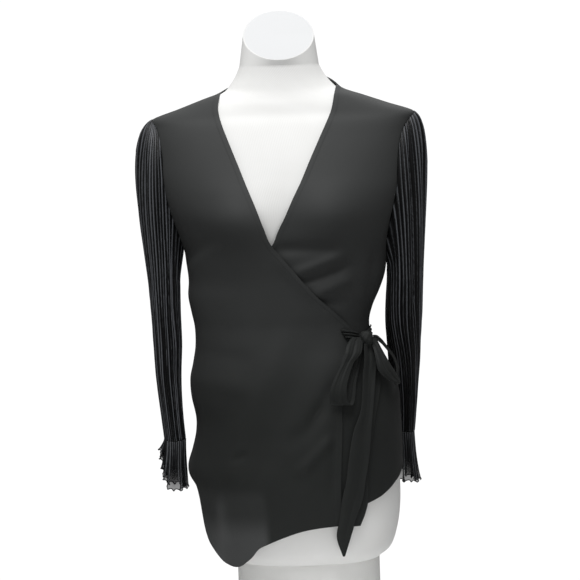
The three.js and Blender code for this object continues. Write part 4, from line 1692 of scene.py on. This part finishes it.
LOOP_RIGHT_PATH = steps_table(
    [
        [40.6, 439, 10, 19, -5],
        [45.2, 435, 16, 22, -6],
        [49.1, 429, 21.5, 23, -6],
        [52.5, 421, 24.5, 21, -7],
        [55.5, 414, 24, 17, -5],
        [58.6, 407, 22.5, 14, -4],
        [62.9, 394, 21.5, 14, -6],
        [67, 378, 21.5, 16, -5],
        [68.9, 364, 20, 18, -5],
        [68.9, 353, 16, 20, -4],
        [67.1, 346.5, 11.5, 23, -6],
        [64.6, 350, 9, 21, -5],
        [62.3, 361, 8.4, 18, -6],
        [58.5, 380, 8.4, 15, -5],
        [52, 401, 8.6, 13, -6],
        [44, 421, 9.6, 12, -7],
        [40.4, 430, 10.5, 11, -7],
    ]
)

LOOP_LEFT_PATH = steps_table(
    [
        [31, 436, 14, 10, 40],
        [30.5, 427, 19, 19, 27],
        [33.6, 416, 22.5, 22, 16],
        [36.4, 402, 23.5, 25, 9],
        [36.1, 390, 22, 28, 3],
        [32.6, 379, 18.5, 25, 2],
        [28, 371, 16.5, 17, 4],
        [25.5, 366.5, 13, 15, 5],
        [23.5, 366.5, 9.5, 15, 6],
        [21, 371, 9, 16, 8],
        [17, 379, 10.5, 17, 9],
        [13.5, 389, 13.5, 19, 10],
        [11.5, 400, 16, 20, 12],
        [12, 413, 17, 18, 14],
        [15, 425, 17, 15, 18],
        [21, 434, 15.5, 12, 24],
        [27, 437, 14.5, 9, 30],
    ]
)

TAIL_FRONT_EDGES = Table(
    "z left right lift",
    [
        [126, 50, 53, 6.5],
        [155, 42, 63, 6.5],
        [182, 47, 72, 6.2],
        [207, 51, 82, 6.2],
        [233, 58, 87, 6],
        [271, 64, 94, 6],
        [308, 72, 98, 6],
        [332, 82, 101, 6.2],
        [358, 86, 104, 7],
        [386, 88, 107, 8.5],
        [406, 91, 109, 11.5],
        [421, 91, 108, 14.5],
        [430, 92, 106, 17],
    ],
)

TAIL_BACK_EDGES = Table(
    "z left right lift",
    [
        [168, 60, 77, 2.4],
        [186, 60, 85, 2.4],
        [206, 62, 90, 2.4],
        [250, 66, 91, 2.4],
        [300, 76, 100, 2.4],
        [340, 88, 108, 2.4],
        [370, 99, 114, 2.6],
        [398, 96, 110, 4],
        [416, 94, 106, 8.5],
        [426.3, 94, 103, 13.5],
    ],
)


@dataclass
class Bow:
    """The gathered end of the over front, the knot, its two loops and its two tails."""

    wardrobe: Wardrobe
    knot_x: float = 95
    knot_z: float = 437
    knot_lift: float = 15
    knot_half: tuple[float, float, float] = (10, 8.5, 11)
    knot_rows: int = 50
    knot_columns: int = 90
    knot_fullness: float = 0.7

    def build(self) -> None:
        """Makes every piece of the bow."""
        crepe = self.wardrobe.crepe
        gathers = Ribbon(
            "tie_gathers_cloth",
            "tie_gathers",
            GATHERS_PATH,
            folds=3,
            deep=1.3,
            crease=0.35,
            creases=5,
            steps=70,
            columns=90,
            seed=8,
        ).build(crepe)
        root = Ribbon(
            "tie_root_cloth",
            "tie_root",
            ROOT_PATH,
            crease=0.7,
            creases=2.5,
            steps=60,
            columns=46,
            seed=9,
        ).build(crepe)
        right = Ribbon(
            "loop_right_cloth",
            "loop_right",
            LOOP_RIGHT_PATH,
        ).build(crepe)
        left = Ribbon(
            "loop_left_cloth",
            "loop_left",
            LOOP_LEFT_PATH,
            seed=6,
        ).build(crepe)
        front = Tail(
            "tail_front_cloth",
            "tail_front",
            TAIL_FRONT_EDGES,
        ).build(crepe)
        back = Tail(
            "tail_back_cloth",
            "tail_back",
            TAIL_BACK_EDGES,
            roll=0.5,
            sway=0.3,
            seed=4,
        ).build(crepe)
        knot = settle(make_piece("tie_knot_cloth", self.knot(), crepe), ["tie_knot"])

    def knot(self) -> Surface:
        """The knot: a soft round lump whose wraps show as slanting ridges.

        A point is the middle plus the half sizes times cos(rise)^0.7 cos(turn),
        cos(rise)^0.7 sin(turn) and sin(rise), pushed out by the ridges.
        """
        middle = CLOTH.front_at(self.knot_x, self.knot_z, self.knot_lift)
        rise = np.linspace(-np.pi / 2, np.pi / 2, self.knot_rows)[:, None]
        turn = np.linspace(0, 2 * np.pi, self.knot_columns, endpoint=False)[None, :]
        wide = np.cos(rise) ** self.knot_fullness
        ridge = 1 + 0.05 * wide * np.sin(3 * turn + 4 * rise + 0.6)
        ridge = ridge + 0.03 * wide * np.sin(7 * turn - 5 * rise)
        x = middle[0] + self.knot_half[0] * wide * np.cos(turn) * ridge
        y = middle[1] + self.knot_half[1] * wide * np.sin(turn) * ridge
        z = middle[2] + self.knot_half[2] * np.sin(rise) * np.ones_like(turn)
        grid = np.stack([x, y, z], axis=-1)
        values = {"edge_mm": np.full(grid.shape[:2], FAR_FROM_HEM), "pale": np.zeros(grid.shape[:2])}
        return closed_skin(grid, values)


RIGHT_RINGS = Table(
    "z x y across along turn",
    [
        [290, -191.6, 0, 14.4, 31, 0],
        [336, -194.9, 0, 15.1, 36, 0],
        [384, -197.4, 0, 17.1, 40, 0],
        [432, -197.1, 0, 19.4, 43, 0],
        [480, -198.1, 0, 19.9, 45, 0],
        [520, -198.6, 0, 21.4, 46, 0],
    ],
)

LEFT_RINGS = Table(
    "z x y across along turn",
    [
        [283, 150, 58, 12, 32, 20],
        [320, 152, 57, 14, 37, 18],
        [360, 153.5, 50, 17, 40, 15],
        [400, 154, 34, 20.5, 43, 12],
        [456, 154, 14, 25, 45, 5],
        [520, 158, 4, 25.6, 46, 0],
    ],
)


@dataclass
class Sleeves:
    """Both pleated sleeves with their flounces."""

    wardrobe: Wardrobe

    def build(self) -> None:
        """Makes the sleeves and the cuffs."""
        right = Sleeve(
            "sleeve_right_cloth",
            "sleeve_right",
            ARMHOLE_RIGHT,
            set_out=1.4,
            bulge=140,
            tuck=20,
            rings=RIGHT_RINGS,
            seed=41,
            folds=[
                [95, 640, 420, 5, -3],
                [128, 600, 380, 4, -2.5],
                [42, 700, 520, 5, -2],
                [250, 660, 420, 6, -3],
            ],
        )
        left = Sleeve(
            "sleeve_left_cloth",
            "sleeve_left",
            ARMHOLE_LEFT,
            set_out=1.9,
            bulge=95,
            tuck=10,
            rings=LEFT_RINGS,
            seed=43,
            folds=[
                [66, 715, 470, 4.5, -4],
                [98, 640, 430, 4, -2.5],
                [20, 690, 500, 6, -2],
                [262, 660, 420, 6, -3],
            ],
        )
        for sleeve in (right, left):
            piece = sleeve.build(self.wardrobe.chiffon)
        cuffs = (
            Cuff(
                "cuff_right_flounce",
                "cuff_right",
                right,
                drop=72,
                slit=10,
                lean=-4,
                seed=51,
            ),
            Cuff(
                "cuff_left_flounce",
                "cuff_left",
                left,
                drop=74,
                slit=250,
                lean=2,
                seed=52,
                wave_bend=3.0,
            ),
        )
        for cuff, holder in zip(cuffs, ("sleeve_right_cloth", "sleeve_left_cloth")):
            flounce, edge = cuff.build(self.wardrobe.sheer, self.wardrobe.thread)


@dataclass
class Studio:
    """Pale floor, soft light and the photograph's camera."""

    target: tuple[float, float, float] = (-0.013, 0.0, 0.505)
    distance: float = 3.4
    elevation: float = 5.0
    roll: float = 2.0
    metres_per_pixel: float = 0.00148
    picture: int = 580
    sensor: float = 36.0
    sky_light: float = 0.31
    sky_mirrored: float = 0.12
    sky_seen: float = 1.05
    floor_radius: float = 0.3
    floor_corners: int = 96

    def build(self) -> None:
        """Makes the camera, the floor, the lights and the sky."""
        self.camera()
        self.floor()
        self.light("key_softbox", (-0.13, -0.85, 2.1), (0, 0, 0.6), 0.9, 28)
        self.light("floor_bounce", (0, -0.5, 0.03), (0, 0, 0.3), 0.5, 1.0, mirrored=False)
        self.light("back_softbox", (0.2, 1.1, 2.2), (0, 0, 0.6), 1.2, 17)
        world = bpy.data.worlds.new("studio_sky")
        world.use_nodes = True
        tree = world.node_tree
        sky = tree.nodes["Background"]
        sky.inputs["Color"].default_value = (1, 1, 1, 1)
        rays = add_node(tree, "ShaderNodeLightPath").outputs
        unseen = ranged(tree, rays["Is Glossy Ray"], self.sky_light, self.sky_mirrored)
        strength = add_node(
            tree,
            "ShaderNodeMapRange",
            {"To Max": self.sky_seen},
            {"Value": rays["Is Camera Ray"], "To Min": unseen},
        )
        tree.links.new(strength.outputs[0], sky.inputs["Strength"])
        bpy.context.scene.world = world
        bpy.context.scene.view_settings.view_transform = "Standard"

    def camera(self) -> None:
        """A camera at the photograph's distance, height and small roll."""
        data = bpy.data.cameras.new("camera")
        data.sensor_width = self.sensor
        data.lens = self.sensor * self.distance / (self.metres_per_pixel * self.picture)
        data.clip_end = 100
        up = np.radians(self.elevation)
        lean = np.radians(self.roll)
        back = np.array([0.0, -np.cos(up), np.sin(up)])
        level = np.array([1.0, 0.0, 0.0])
        above = np.cross(level, -back)
        right = np.cos(lean) * level - np.sin(lean) * above
        over = np.sin(lean) * level + np.cos(lean) * above
        eye = np.array(self.target) + self.distance * back
        camera = bpy.data.objects.new("camera", data)
        place = np.eye(4)
        place[:3, 0], place[:3, 1], place[:3, 2], place[:3, 3] = right, over, back, eye
        camera.matrix_world = Matrix(place.tolist())
        bpy.context.scene.collection.objects.link(camera)
        bpy.context.scene.camera = camera

    def floor(self) -> None:
        """A pale round floor under the base, small enough to lie outside the picture."""
        turn = np.linspace(0, 2 * np.pi, self.floor_corners, endpoint=False)
        ring = self.floor_radius * np.stack([np.cos(turn), np.sin(turn), 0 * turn], axis=-1)
        mesh = bpy.data.meshes.new("studio_floor")
        mesh.from_pydata(ring.tolist(), [], [tuple(range(self.floor_corners))])
        made, tree = start_material("studio_floor_paint")
        place = add_node(tree, "ShaderNodeTexCoord").outputs["Object"]
        shown = mix_colours(tree, noise(tree, place, 0.8), linear("#fafafa"), linear("#f6f6f6"))
        end_material(tree, {"Roughness": 0.9}, {"Base Color": shown})
        mesh.materials.append(made)
        floor = bpy.data.objects.new("studio_floor", mesh)
        bpy.context.scene.collection.objects.link(floor)

    def light(
        self,
        name: str,
        place: tuple[float, float, float],
        aim: tuple[float, float, float],
        size: float,
        power: float,
        mirrored: bool = True,
    ) -> None:
        """A square soft light at a place, turned to what it lights, seen in reflections or not."""
        data = bpy.data.lights.new(name, "AREA")
        data.size = size
        data.energy = power
        lamp = bpy.data.objects.new(name, data)
        lamp.location = place
        lamp.visible_camera = False
        lamp.visible_glossy = mirrored
        way = Vector(aim) - Vector(place)
        lamp.rotation_euler = way.to_track_quat("-Z", "Y").to_euler()
        bpy.context.scene.collection.objects.link(lamp)


def main() -> None:
    """Builds the form, the top and the studio."""
    logging.basicConfig(level=logging.INFO, format="%(name)s: %(message)s")
    wardrobe = Wardrobe()
    Studio().build()
    DressForm(wardrobe).build()
    BodyPanels(wardrobe).build()
    Sleeves(wardrobe).build()
    Bow(wardrobe).build()


if __name__ == "__main__":
    main()
